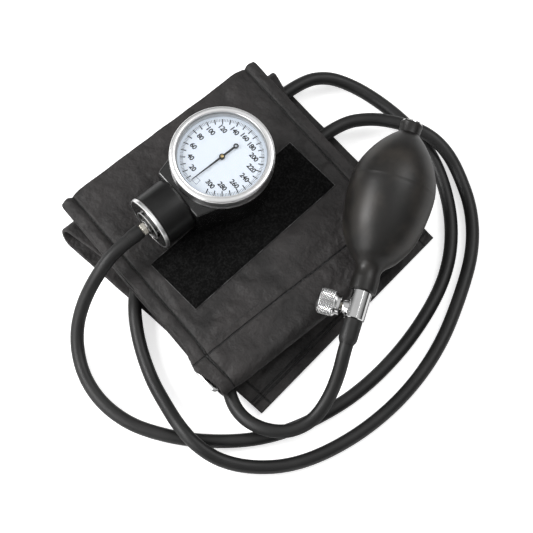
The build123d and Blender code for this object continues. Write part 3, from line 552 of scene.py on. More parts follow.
class Finishes:
    """Every finish of the object, made once."""

    def __init__(self, dial_centre: Point2, seams: tuple[tuple[float, ...], ...]) -> None:
        """Makes every finish.

        Args:
            dial_centre: the pointer's axis, seen from above.
            seams: the cloth's seams: from its middle, and along it.
        """
        sides, crossings = seams
        self.nylon = Nylon(
            "nylon_cloth", side_seams=sides, cross_seams=crossings
        ).material()
        self.binding = Nylon("nylon_binding", grey(0.010, 0.05), grey(0.020, 0.05)).material()
        self.pile = Pile("loop_pile").material()
        self.hooks = Pile("hook_tape", grey(0.010), grey(0.030), 420.0).material()
        self.thread = Rubber("sewing_thread", grey(0.016), grey(0.034), 0.6).material()
        self.selvage = Rubber("selvage_thread", grey(0.02), grey(0.13), 0.6, 150.0).material()
        self.bulb = Rubber(
            "bulb_rubber", grey(0.009, 0.08), grey(0.028, 0.16), 0.31, 45.0
        ).material()
        self.hose = Rubber(
            "hose_rubber", grey(0.008, 0.0), grey(0.016, 0.02), 0.38, 35.0
        ).material()
        self.soft_rubber = Rubber("inner_rubber").material()
        self.case = Paint("case_enamel", grey(0.006), grey(0.012), 0.20, 0.4).material()
        self.housing = Paint(
            "housing_enamel", grey(0.005), grey(0.010), 0.32, 0.0, 0.34
        ).material()
        self.needle_paint = Paint("needle_paint", grey(0.003), grey(0.006), 0.5, 0.0).material()
        self.ink = Paint("scale_ink", grey(0.004), grey(0.010), 0.7, 0.0).material()
        self.fine_ink = Paint("fine_scale_ink", grey(0.09), grey(0.13), 0.7, 0.0).material()
        self.white_plastic = Paint("spacer_white", grey(0.60), grey(0.52), 0.45, 0.0).material()
        self.dial = DialFace("dial_card", dial_centre).material()
        self.glass = Pane("dial_pane").material()
        self.chrome = Metal("chrome_plate", grey(0.78), grey(0.70), 0.07, 0.04).material()
        # Painted reflection: a darker copy of the chrome for the cap's face, which sees the dark
        # cloth.
        self.chrome_painted_dark = Metal("chrome_painted_dark", grey(0.28), grey(0.20), 0.12, 0.05).material()
        self.satin = Metal("satin_chrome", grey(0.97), grey(0.92), 0.30, 0.05).material()
        self.knurling = Knurling("knurled_chrome_painted_light").material()
        self.nickel = Metal(
            "nickel_plate", (0.72, 0.69, 0.62, 1.0), (0.60, 0.55, 0.46, 1.0), 0.16, 0.12
        ).material()
        self.brass = Metal(
            "movement_brass", (0.80, 0.60, 0.28, 1.0), (0.62, 0.42, 0.18, 1.0), 0.24, 0.12
        ).material()
        self.bronze = Metal(
            "spring_bronze", (0.70, 0.45, 0.26, 1.0), (0.50, 0.31, 0.18, 1.0), 0.28, 0.12
        ).material()
        self.steel = Metal("bright_steel", grey(0.66), grey(0.52), 0.18, 0.12).material()


# Mesh operators


def turned(profile: Sequence[Point2], steps: int = 96) -> Shape:
    """Turns a profile about Z.

    Args:
        profile: points of radius and height, closed if the last is the first.
        steps: how many facets go round.

    Returns:
        The turned shape.
    """
    mesh = bmesh.new()
    verts = [mesh.verts.new((radius, 0.0, height)) for radius, height in profile]
    edges = [mesh.edges.new(pair) for pair in zip(verts, verts[1:])]
    bmesh.ops.spin(
        mesh,
        geom=verts + edges,
        cent=(0, 0, 0),
        axis=(0, 0, 1),
        angle=math.tau,
        steps=steps,
        use_merge=True,
    )
    bmesh.ops.remove_doubles(mesh, verts=mesh.verts, dist=1e-3)
    bmesh.ops.recalc_face_normals(mesh, faces=mesh.faces)
    return mesh


def between(four: Sequence[float], t: float) -> float:
    """A smooth value between the middle two of four.

    Args:
        four: values at four even steps.
        t: share of the way from the second to the third.

    Returns:
        The value.
    """
    a, b, c, d = four
    bend = (2 * a - 5 * b + 4 * c - d) * t * t + (3 * b - a - 3 * c + d) * t**3
    return 0.5 * (2 * b + (c - a) * t + bend)


def smooth_line(points: Sequence[Point2], steps: int = 8) -> list[Point2]:
    """A smooth line through points.

    Args:
        points: places that the line passes.
        steps: pieces between two places.

    Returns:
        The line's points.
    """
    line = []
    ends = [points[0], *points, points[-1]]
    for fours in zip(ends, ends[1:], ends[2:], ends[3:]):
        for n in range(steps):
            line.append(tuple(between(four, n / steps) for four in zip(*fours)))
    line.append(tuple(points[-1]))
    return line


def block(size: Point3, middle: Point3) -> Shape:
    """A box round its middle.

    Args:
        size: its three sides.
        middle: place of its middle.

    Returns:
        The box.
    """
    mesh = bmesh.new()
    place = Matrix.Translation(middle) @ Matrix.Diagonal((*size, 1.0))
    bmesh.ops.create_cube(mesh, size=1.0, matrix=place)
    return mesh


def joined(*shapes: Shape) -> Shape:
    """Puts several shapes in one.

    Args:
        shapes: the shapes, which are freed.

    Returns:
        The one shape.
    """
    whole = bmesh.new()
    for shape in shapes:
        part = bpy.data.meshes.new("part")
        shape.to_mesh(part)
        shape.free()
        whole.from_mesh(part)
        bpy.data.meshes.remove(part)
    return whole


def tube(points: Sequence[Point3], radius: float, closed: bool = False) -> Shape:
    """A round bar along a line.

    Args:
        points: the line's points.
        radius: the bar's radius.
        closed: whether the line ends where it starts.

    Returns:
        The bar's shape.
    """
    line = bpy.data.curves.new("line", "CURVE")
    line.dimensions = "3D"
    line.bevel_depth = radius
    line.bevel_resolution = 3
    line.use_fill_caps = not closed
    spline = line.splines.new("POLY")
    spline.points.add(len(points) - 1)
    for point, place in zip(spline.points, points):
        point.co = (*place, 1.0)
    spline.use_cyclic_u = closed
    return flattened(line)


def flattened(data: bpy.types.Curve) -> Shape:
    """Makes a mesh of a curve or text.

    Args:
        data: the curve or text.

    Returns:
        Its mesh, with doubles merged.
    """
    holder = bpy.data.objects.new("holder", data)
    bpy.context.scene.collection.objects.link(holder)
    bpy.context.view_layer.update()
    made = bpy.data.meshes.new_from_object(
        holder.evaluated_get(bpy.context.evaluated_depsgraph_get())
    )
    mesh = bmesh.new()
    mesh.from_mesh(made)
    bpy.data.objects.remove(holder)
    bpy.data.meshes.remove(made)
    bmesh.ops.remove_doubles(mesh, verts=mesh.verts, dist=1e-4)
    return mesh


@dataclass
class Piece:
    """What a finished piece is called, wears and rides on."""

    name: str
    finish: Material
    slot: str
    body: Body = Body.BASE
    stands_for: Sequence[str] = ()
    edge: float = 0.0
    place: Matrix = field(default_factory=lambda: Matrix.Identity(4))
    sharp: float = 35.0

    def make(self, shape: Shape) -> bpy.types.Object:
        """Makes the object from a shape in millimetres.

        Args:
            shape: the shape, which is freed.

        Returns:
            The piece, in its place in the frame.
        """
        shape.transform(Matrix.Scale(MM, 4) @ self.place)
        data = bpy.data.meshes.new(self.name)
        shape.to_mesh(data)
        shape.free()
        data.polygons.foreach_set("use_smooth", [True] * len(data.polygons))
        data.set_sharp_from_angle(angle=math.radians(self.sharp))
        data.materials.append(self.finish)
        made = bpy.data.objects.new(self.name, data)
        bpy.context.scene.collection.objects.link(made)
        if self.edge:
            bevel = made.modifiers.new("edges", "BEVEL")
            bevel.width = self.edge * MM
            bevel.segments = 3
            bevel.limit_method = "ANGLE"
            bevel.angle_limit = EDGES_SHARPER_THAN
            bevel.harden_normals = True
        self.seat(made)
        return made

    def seat(self, made: bpy.types.Object) -> None:
        """Puts a made object on its body and hides the solids that it stands for.

        Args:
            made: the object.
        """
        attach(made, self.body.value)
        if self.stands_for:
            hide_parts(*self.stands_for)
        LOG.info("made %s", self.name)


# The hoses


@dataclass
class Hose:
    """A rubber hose that lies where its solid lies, stretched over a barb at its start.

    The end's two sizes are the stretched part's radius and length.
    """

    name: str
    node: str
    length: float
    end: Point2
    route: Sequence[Point3]
    diameter: float = 8.0

    def build(self, finishes: Finishes) -> bpy.types.Object:
        """Args:
            finishes: the object's finishes.

        Returns:
            The hose's curve.
        """
        line = bpy.data.curves.new(self.name, "CURVE")
        line.dimensions = "3D"
        line.bevel_depth = self.diameter / 2 * MM
        line.bevel_resolution = 7
        line.resolution_u = 10
        line.use_fill_caps = True
        spline = line.splines.new("NURBS")
        spline.points.add(len(self.route) - 1)
        for point, place in zip(spline.points, self.route):
            point.co = (*(MM * value for value in place), 1.0)
        spline.order_u = 3
        spline.use_endpoint_u = True
        line.materials.append(finishes.hose)
        made = bpy.data.objects.new(self.name, line)
        bpy.context.scene.collection.objects.link(made)
        piece = Piece(self.name, finishes.hose, "hose_rubber", stands_for=[self.node])
        piece.seat(made)
        self.stretched_end(finishes)
        return made

    def stretched_end(self, finishes: Finishes) -> bpy.types.Object:
        """The wider end of the hose, over the barb that it is pushed on.

        Args:
            finishes: the object's finishes.

        Returns:
            The end's object.
        """
        start, after = (Vector(place) for place in self.route[:2])
        turn = (after - start).to_track_quat("Z", "Y").to_matrix().to_4x4()
        radius, length = self.end
        inner, rounding = self.diameter / 2 - 0.1, 3.2
        piece = Piece(self.name + "_end", finishes.hose, "hose_rubber")
        piece.place = Matrix.Translation(start) @ turn
        return piece.make(turned([
            (inner, 0.0), (radius - 0.3, 0.0), (radius, 0.4), (radius, length - rounding),
            (radius - 0.15 * (radius - inner), length - 0.7 * rounding),
            (inner + 0.35 * (radius - inner), length - 0.25 * rounding), (inner + 0.15, length),
            (inner, length), (inner, 0.0),
        ], 48))


GAUGE_HOSE = Hose(
    "gauge_hose_tube", "gauge_hose",
    567.4,
    (4.4, 9.0),
    [
        (-52.4, 25.1, 44.05), (-69.4, 25.1, 44.05), (-85, 22.8, 37.5), (-99.5, 20, 23.5),
        (-111.5, 13.5, 11.5), (-120.5, 2, 5.6), (-126.5, -13, 4.2), (-128, -30, 4.2),
        (-124.5, -47, 4.2), (-117.5, -61, 4.2), (-104, -79, 4.2), (-84, -97, 4.2),
        (-64, -109, 4.2), (-40, -116.5, 4.2), (-10, -120.5, 4.2), (26, -117, 4.2),
        (60, -107, 4.2), (84, -94, 4.2), (103, -75, 4.2), (117, -51, 4.2), (124.5, -27, 4.2),
        (124, -4, 4.2), (121, 15, 4.2), (115, 31.5, 6.4), (105.8, 44.3, 9.8), (91, 51, 12),
        (74.3, 51, 12),
    ],
)
BULB_HOSE = Hose(
    "bulb_hose_tube", "bulb_hose",
    770.9,
    (5.4, 14.5),
    [
        (6.28, -94.05, 43.59), (-7.84, -103.3, 41.58), (-18, -110.5, 32.5), (-30, -116, 22.5),
        (-43.8, -119, 16.8), (-58.2, -115, 14.6), (-68.8, -104.3, 14.6), (-73.1, -89.6, 12),
        (-69.6, -75, 9.1), (-60, -61, 9.1), (-41.5, -43.5, 9.1), (-20.5, -22, 9.1),
        (-19.5, 0.5, 9.1), (-34.5, 17.3, 9.1), (-56.5, 19.5, 9.1), (-73.5, 8.5, 9.1),
        (-87, -11, 6.4), (-97, -36, 5), (-101.5, -58, 9.5), (-104, -73, 14.6),
        (-103.5, -88, 14.6), (-98, -102, 9.5), (-86, -115.5, 5), (-69, -128, 4.2),
        (-47, -136, 4.2), (-18, -140, 4.2), (14, -138, 4.2), (46, -129, 4.2), (76, -113, 4.2),
        (100, -97, 4.2), (117, -77, 4.2), (126.5, -55, 5), (129, -40, 10), (126.5, -25, 14.2),
        (118, -9, 14.2), (107, 5, 12.5), (91, 14.4, 12), (74.3, 14.4, 12),
    ],
)


# The cuff


@dataclass(frozen=True)
class FoldRun:
    """A straight run of the sleeve's middle line, seen from the side."""

    start: Point2
    end: Point2

    @property
    def length(self) -> float:
        """Length of the run."""
        return math.dist(self.start, self.end)

    def at(self, distance: float) -> tuple[Point2, Point2]:
        """A step of the middle line.

        Args:
            distance: length from the run's start.

        Returns:
            Place and direction there.
        """
        share = distance / self.length
        way = [(b - a) / self.length for a, b in zip(self.start, self.end)]
        place = [a + (b - a) * share for a, b in zip(self.start, self.end)]
        return tuple(place), tuple(way)


@dataclass(frozen=True)
class FoldTurn:
    """A half turn of the sleeve's middle line round a fold's axis, seen from the side."""

    centre: Point2
    radius: float
    start: float
    sweep: float

    @property
    def length(self) -> float:
        """Length of the turn."""
        return self.radius * abs(self.sweep)

    def at(self, distance: float) -> tuple[Point2, Point2]:
        """A step of the middle line.

        Args:
            distance: length from the turn's start.

        Returns:
            Place and direction there.
        """
        angle = self.start + self.sweep * distance / self.length
        side = math.copysign(1.0, self.sweep)
        place = (
            self.centre[0] + self.radius * math.cos(angle),
            self.centre[1] + self.radius * math.sin(angle),
        )
        return place, (-side * math.sin(angle), side * math.cos(angle))


def bell(gap: float, width: float) -> float:
    """A bell: 1 at no gap, then falling off over the width."""
    return math.exp(-((gap / width) ** 2))


@dataclass(frozen=True)
class Crease:
    """A soft ridge or hollow in the top layer."""

    start: Point2
    end: Point2
    width: float
    height: float

    def lift(self, x: float, y: float) -> float:
        """The crease's height at a place.

        Args:
            x: place across the cuff.
            y: place along the cuff.

        Returns:
            How much it lifts the cloth there.
        """
        run = Vector(self.end) - Vector(self.start)
        away = Vector((x, y)) - Vector(self.start)
        share = min(max(away.dot(run) / run.length_squared, 0.0), 1.0)
        gap = (away - run * share).length
        return self.height * bell(gap, self.width)


def ripple(*place: float) -> float:
    """Smooth noise, about -1 to 1, at a place."""
    return noise.noise(Vector(place))


def eased(share: float) -> float:
    """A share from 0 to 1 with soft ends, held outside them."""
    share = min(max(share, 0.0), 1.0)
    return share * share * (3 - 2 * share)


@dataclass
class Cuff:
    """The folded nylon sleeve with its patches, seams, ring and hose necks."""

    half_width: float = 74.0
    flap_end: Point2 = (13.4, -84.6)
    flap_half: float = 75.0
    flap_turn: float = math.radians(7.0)
    flap_back: tuple[float, float] = (0.5, 83.0)
    fold_narrows: float = 34.0
    hem: float = 8.0
    hem_half_thickness: float = 1.05
    layer_half_thickness: float = 1.95
    flap_z: float = 2.4
    second_z: float = 15.6
    inner_z: float = 19.9
    top_z: float = 24.2
    far_fold: float = 60.0
    near_fold: float = -70.7
    last_fold: float = 72.85
    inner_end: float = -47.0
    calm_beyond: float = 70.0
    row_gap: float = 2.2
    fold_row: float = 18.3
    fold_seam: Point2 = (-52.6, 0.011)
    stitch: float = 2.7
    stitch_shows: float = 0.66
    thread: Point2 = (0.45, 0.34)
    pad_rise: float = 7.0
    wander: float = 0.5
    waves: tuple[tuple[float, ...], ...] = ((2.0, 24, 18, 3.1), (1.2, 11, 8, 7.7))
    cloth_top: float = 26.2
    columns: int = 100
    rows: int = 380
    denser_at_edges: Point2 = (0.9 * math.pi / 2, 1.35)
    top_seams_stop: int = 133
    flap_seams_stop: int = 12
    patch_size: Point2 = (112.0, 38.0)
    patch_at: Point2 = (0.1, -4.0)
    patch_turn: float = math.radians(4.0)
    tuft_pitch: float = 0.75
    selvage_radius: float = 0.18
    hooks_size: Point2 = (45.0, 100.0)
    hooks_at: Point2 = (36.0, -14.0)
    ring_half: Point2 = (76.0, 9.0)
    ring_at: Point2 = (-61.0, 19.9)
    ring_corner: float = 1.9
    ring_wire: float = 1.5
    over_ring: float = -55.0
    overhang: float = 4.0
    ports: tuple[float, float] = (14.4, 51.0)
    gauge_at: Point2 = (8.6, 25.1)
    bulb_rests_at: Point2 = (66.0, -55.0)
    port_z: float = 12.0
    creases: tuple[Crease, ...] = (
        Crease((-66, -20), (-60, -36), 3.2, 1.3),
        Crease((-63, -8), (-66, -26), 2.6, -1.0),
        Crease((-58, -38), (-44, -46), 3.4, 1.1),
        Crease((-50, -30), (-36, -40), 4.5, 0.9),
        Crease((-24, -34), (-6, -44), 3.6, 0.9),
        Crease((-10, -42), (22, -38), 5.0, 0.8),
        Crease((30, -40), (58, -30), 5.0, 0.9),
        Crease((-62, 34), (-48, 52), 5.0, 0.9),
        Crease((-40, 62), (20, 66), 5.0, 0.6),
        Crease((44, 50), (56, 70), 5.0, 0.7),
        Crease((-60, -60), (-20, -62), 4.0, 0.8),
        Crease((10, -64), (60, -60), 4.0, 0.7),
    )

    def __post_init__(self) -> None:
        """Lays out the sleeve's middle line, from the flap's end on."""
        flap, second, top, inner = self.flap_z, self.second_z, self.top_z, self.inner_z
        far, near, last = self.far_fold, self.near_fold, self.last_fold
        quarter = math.pi / 2
        self.runs = [
            FoldRun((self.flap_end[1], flap), (far, flap)),
            FoldTurn((far, (flap + second) / 2), (second - flap) / 2, -quarter, math.pi),
            FoldRun((far, second), (near, second)),
            FoldTurn((near, (second + top) / 2), (top - second) / 2, -quarter, -math.pi),
            FoldRun((near, top), (last, top)),
            FoldTurn((last, (top + inner) / 2), (top - inner) / 2, quarter, -math.pi),
            FoldRun((last, inner), (self.inner_end, inner)),
        ]
        self.length = sum(run.length for run in self.runs)
        self.top_starts = sum(run.length for run in self.runs[:4])
        self.flap_length = self.runs[0].length
        self.fold_ends = self.flap_length + self.runs[1].length + self.fold_narrows

    @property
    def seams(self) -> tuple[tuple[float, ...], tuple[float, ...]]:
        """Seams in the cloth's own measure: from its middle, and along it."""
        row = self.top_starts + self.fold_row
        return (self.half_width - self.hem,), (self.hem - self.row_gap, self.hem, row)

    def middle(self, distance: float) -> tuple[Point2, Point2]:
        """The sleeve's middle line, seen from the side.

        Args:
            distance: length along it from the flap's end.

        Returns:
            Place and direction there.
        """
        for run in self.runs[:-1]:
            if distance <= run.length:
                return run.at(distance)
            distance -= run.length
        return self.runs[-1].at(distance)

    def thickness(self, from_side: float, from_end: float) -> float:
        """Half thickness of the sleeve.

        Args:
            from_side: distance from the nearer side edge.
            from_end: distance from the nearer end.

        Returns:
            The half thickness: a flat hem, a rounded edge, then the padded body.
        """
        half = self.layer_half_thickness
        for distance in (from_side, from_end):
            padded = eased((distance - self.hem) / self.pad_rise)
            hem = self.hem_half_thickness
            body = hem + (self.layer_half_thickness - hem) * padded
            inward = min(distance / hem, 1.0)
            half = min(half, body * math.sqrt(max(1 - (1 - inward) ** 2, 0.0)))
        return half

    def relief(self, x: float, y: float) -> float:
        """Folds, seams and stitch grooves of the top layer's upper side.

        Args:
            x: place across the cuff.
            y: place along the cuff.

        Returns:
            How far the cloth stands off its smooth face there.
        """
        lift = sum(crease.lift(x, y) for crease in self.creases)
        inward = min(self.half_width - abs(x) - 4, self.calm_beyond - y)
        edge = 0.25 + 0.75 * eased(inward / 14)
        for height, wide, long, seed in self.waves:
            lift += height * edge * ripple(x / wide, y / long, seed)
        seam = y - (self.fold_seam[0] + self.fold_seam[1] * x)
        lift += 0.5 * bell(seam, 4.0) * (1 + ripple(x / 3.5, y / 9, 1.3))
        lift -= 1.1 * bell(seam, 0.9) * (abs(x) < self.half_width - self.hem)
        side = abs(x) - (self.half_width - self.hem)
        lift -= 0.8 * bell(side, 0.9)
        lift += 0.7 * bell(side - 3.5, 2.5) * (1 + ripple(y / 4, x / 20, 2.2))
        under_gauge = eased((math.dist((x, y), self.gauge_at) - 24) / 12)
        under_bulb = eased((math.dist((x, y), self.bulb_rests_at) - 12) / 14)
        inside = [
            abs(c) - half
            for c, half in zip(self.on_patch(x, y), (s / 2 for s in self.patch_size))
        ]
        off_patch = eased(max(inside) / 6)
        calm = under_gauge * under_bulb * off_patch
        return lift * calm if lift > 0 else lift * max(calm, 0.3)

    def on_patch(self, x: float, y: float) -> Point2:
        """Turns a place into the patch's own directions.

        Args:
            x: place across the cuff.
            y: place along the cuff.

        Returns:
            The place along and across the patch.
        """
        dx, dy = x - self.patch_at[0], y - self.patch_at[1]
        cos, sin = math.cos(self.patch_turn), math.sin(self.patch_turn)
        return dx * cos + dy * sin, dy * cos - dx * sin

    def point(self, across: float, along: float, side: float) -> Vector:
        """A place on the sleeve's surface.

        Args:
            across: from -1 at one side edge to 1 at the other.
            along: distance along the middle line.
            side: 1 or -1 for the two faces of the cloth.

        Returns:
            The place.
        """
        (y, z), (way_y, way_z) = self.middle(along)
        from_side = self.half_width * (1 - abs(across))
        from_end = min(along, self.length - along)
        half = self.thickness(from_side, from_end)
        wander = self.wander * ripple(along / 28, across * 3, 0.4)
        x = across * self.half_width + wander * across**4
        back_x = self.flap_back[0] + self.flap_back[1] * across
        if along < self.flap_length:
            share = along / self.flap_length
            front_x = self.flap_end[0] + self.flap_half * across * math.cos(self.flap_turn)
            front_y = self.flap_end[1] + self.flap_half * across * math.sin(self.flap_turn)
            x = front_x + (back_x - front_x) * share + wander * across**4
            y = front_y + (self.far_fold - front_y) * share
        elif along < self.fold_ends:
            share = eased((along - self.flap_length) / (self.fold_ends - self.flap_length))
            x = back_x + (x - back_x) * share
        if along > self.top_starts and across < 0:
            x -= self.overhang * across**8 * bell(y - self.over_ring, 9.0)
        if side > 0 and along > self.top_starts - 8:
            half += self.relief(x, y) * eased((along - self.top_starts + 8) / 12)
        return Vector((x, y - way_z * half * side, max(z + way_y * half * side, 0.0)))

    def sleeve(self) -> Shape:
        """The folded sleeve as one closed skin, with a UV map in metres.

        Returns:
            The skin.
        """
        mesh = bmesh.new()
        bmesh.ops.create_grid(
            mesh, x_segments=2 * self.columns, y_segments=self.rows, size=1.0
        )
        layer = mesh.loops.layers.uv.new("cloth")
        spread, reach = self.denser_at_edges
        places = {}
        for vert in mesh.verts:
            turn = (vert.co.x + 1) % 2
            face = 1 if turn <= 1 else -1
            share = turn if face > 0 else 2 - turn
            across = math.sin((2 * share - 1) * spread) / math.sin(spread)
            run = (vert.co.y + 1) / 2
            swing = math.sin((2 * run - 1) * reach) / math.sin(reach)
            along = self.length * (0.5 + 0.5 * swing)
            places[vert] = (across, along, face)
        for face in mesh.faces:
            for loop in face.loops:
                across, along, _ = places[loop.vert]
                loop[layer].uv = (across * self.half_width * MM, along * MM)
        for vert, place in places.items():
            vert.co = self.point(*place)
        bmesh.ops.remove_doubles(mesh, verts=mesh.verts, dist=0.02)
        bmesh.ops.recalc_face_normals(mesh, faces=mesh.faces)
        return mesh

    def seam_lines(self) -> list[list[Vector]]:
        """Lines of thread.

        Returns:
            The places along each row of stitches.
        """
        inner = 1 - self.hem / self.half_width
        outer = 1 - (self.hem - self.row_gap) / self.half_width
        top = range(int(self.top_starts) + 2, int(self.length) - self.top_seams_stop)
        flap = range(9, int(self.flap_length) - self.flap_seams_stop)
        ends = [n / 60 for n in range(-56, 57)]
        lines = [
            [self.point(side, s, 1) for s in top] for side in (-inner, inner, outer)
        ]
        lines += [[self.point(side, s, 1) for s in flap] for side in (-inner, inner)]
        lines += [[self.point(a, s, 1) for a in ends] for s in (self.hem, self.hem - self.row_gap)]
        row = self.top_starts + self.fold_row
        lines.append([self.point(a, row + 0.8 * a, 1) for a in ends])
        short = [n / 60 for n in range(-49, -16)]
        lines.append([self.point(a, row + 4.2 + 2.0 * (a + 0.8), 1) for a in short])
        return lines

    def threads(self) -> Shape:
        """Every stitch as a short thread lying on the cloth.

        Returns:
            All the stitches.
        """
        mesh = bmesh.new()
        for line in self.seam_lines():
            walked = 0.0
            start = line[0]
            for before, here in zip(line, line[1:]):
                walked += (here - before).length
                if walked < self.stitch:
                    continue
                stitch = (here - start) * self.stitch_shows
                turn = stitch.to_track_quat("X", "Z").to_matrix().to_4x4()
                size = Matrix.Diagonal((stitch.length, *self.thread, 1.0))
                middle = Matrix.Translation(start + stitch / 2 + Vector((0, 0, 0.06)))
                bmesh.ops.create_cube(mesh, size=1.0, matrix=middle @ turn @ size)
                start = here
                walked = 0.0
        return mesh

    def patch(
        self, size: Point2, floor: float, height: float, tuft: float
    ) -> Shape:
        """A fuzzy patch round its own middle.

        Args:
            size: its length and width.
            floor: height of its underside.
            height: how thick it is.
            tuft: how high its tufts stand.

        Returns:
            The closed patch.
        """
        mesh = bmesh.new()
        columns, rows = (int(side / self.tuft_pitch) for side in size)
        bmesh.ops.create_grid(mesh, x_segments=columns, y_segments=rows, size=0.5)
        for vert in mesh.verts:
            x, y = vert.co.x * size[0], vert.co.y * size[1]
            inward = min(size[0] / 2 - abs(x), size[1] / 2 - abs(y))
            full = eased(inward / 1.4)
            fuzz = ripple(x / 0.9, y / 0.9, 4.0) + 0.6 * ripple(x / 3.1, y / 2.7, 9.0)
            vert.co = (x, y, floor + full * (height - tuft + tuft * fuzz))
        rim = [edge for edge in mesh.edges if edge.is_boundary]
        bmesh.ops.holes_fill(mesh, edges=rim, sides=0)
        bmesh.ops.recalc_face_normals(mesh, faces=mesh.faces)
        return mesh

    def selvage(self) -> Shape:
        """Pale thread round the fuzzy patch's edge.

        Returns:
            The thread, round the patch's own middle.
        """
        half_x, half_y = (side / 2 + 0.25 for side in self.patch_size)
        corners = [(-half_x, -half_y), (half_x, -half_y), (half_x, half_y), (-half_x, half_y)]
        line = []
        for (x0, y0), (x1, y1) in zip(corners, corners[1:] + corners[:1]):
            for n in range(40):
                x, y = x0 + (x1 - x0) * n / 40, y0 + (y1 - y0) * n / 40
                line.append((x, y + 0.12 * ripple(x / 5, y / 5, 6.0), self.cloth_top + 0.3))
        return tube(line, self.selvage_radius, closed=True)

    def ring(self) -> Shape:
        """Wire ring with round corners.

        Returns:
            The ring, lying round its own middle.
        """
        half_x, half_y = self.ring_half
        line = []
        for n, (sx, sy) in enumerate([(1, -1), (1, 1), (-1, 1), (-1, -1)]):
            for step in range(7):
                angle = -math.pi / 2 + n * math.pi / 2 + step * math.pi / 12
                line.append((
                    sx * (half_x - self.ring_corner) + self.ring_corner * math.cos(angle),
                    sy * (half_y - self.ring_corner) + self.ring_corner * math.sin(angle),
                    0.0,
                ))
        return tube(line, self.ring_wire, closed=True)

    def port_collars(self) -> Shape:
        """Cloth swellings of the hem round the hose necks.

        Returns:
            Both swellings.
        """
        profile = [
            (4.3, 0.4), (5.0, 0.0), (5.6, 0.8), (5.6, 15.6), (5.2, 16.8), (4.3, 16.9),
            (4.3, 0.4),
        ]
        return self.at_ports(profile, self.half_width - 17.0)

    def necks(self) -> Shape:
        """Rubber necks of the bladder, where the hoses join.

        Returns:
            Both necks.
        """
        profile = [
            (3.0, 0.0), (4.1, 0.0), (4.15, 5.0), (4.4, 5.6), (4.4, 6.3), (4.1, 6.6),
            (3.0, 6.6), (3.0, 0.0),
        ]
        return self.at_ports(profile, self.half_width - 6.0)

    def at_ports(self, profile: Sequence[Point2], x: float) -> Shape:
        """Turns a profile at both hose ports.

        Args:
            profile: points of radius and height.
            x: where across the cuff it starts.

        Returns:
            Both shapes in one.
        """
        pair = []
        for y in self.ports:
            shape = turned(profile, 40)
            place = Matrix.Translation((x, y, self.port_z))
            shape.transform(place @ Matrix.Rotation(math.pi / 2, 4, "Y"))
            pair.append(shape)
        return joined(*pair)

    def build(self, finishes: Finishes) -> None:
        """Makes the cuff.

        Args:
            finishes: the object's finishes.
        """
        turn = Matrix.Rotation(self.patch_turn, 4, "Z")
        on_top = Matrix.Translation((*self.patch_at, 0.0)) @ turn
        flap_turn = Matrix.Rotation(self.flap_turn, 4, "Z")
        on_flap = Matrix.Translation((*self.hooks_at, 0.0)) @ flap_turn
        in_eye = Matrix.Translation((0.0, *self.ring_at))
        cloth = Piece(
            "cuff_cloth", finishes.nylon, "nylon", stands_for=["cuff_sleeve"]
        ).make(self.sleeve())
        stitches = Piece("seam_threads", finishes.thread, "nylon").make(self.threads())
        loops = Piece(
            "loop_pile_patch", finishes.pile, "loop_pile", stands_for=["loop_patch"], place=on_top
        ).make(self.patch(self.patch_size, self.cloth_top - 0.1, 1.2, 0.35))
        thread = Piece(
            "loop_patch_selvage", finishes.selvage, "loop_pile", place=on_top
        ).make(self.selvage())
        hooks = Piece(
            "hook_tape_patch", finishes.hooks, "hook_tape", stands_for=["hook_patch"],
            place=on_flap,
        ).make(self.patch(self.hooks_size, 4.3, 1.3, 0.2))
        Piece(
            "cuff_wire_ring", finishes.chrome, "ring_steel", stands_for=["cuff_ring"], place=in_eye
        ).make(self.ring())
        collars = Piece("hose_port_collars", finishes.binding, "nylon").make(
            self.port_collars()
        )
        Piece(
            "bladder_necks", finishes.soft_rubber, "bladder_rubber", stands_for=["bladder"]
        ).make(self.necks())


# The gauge


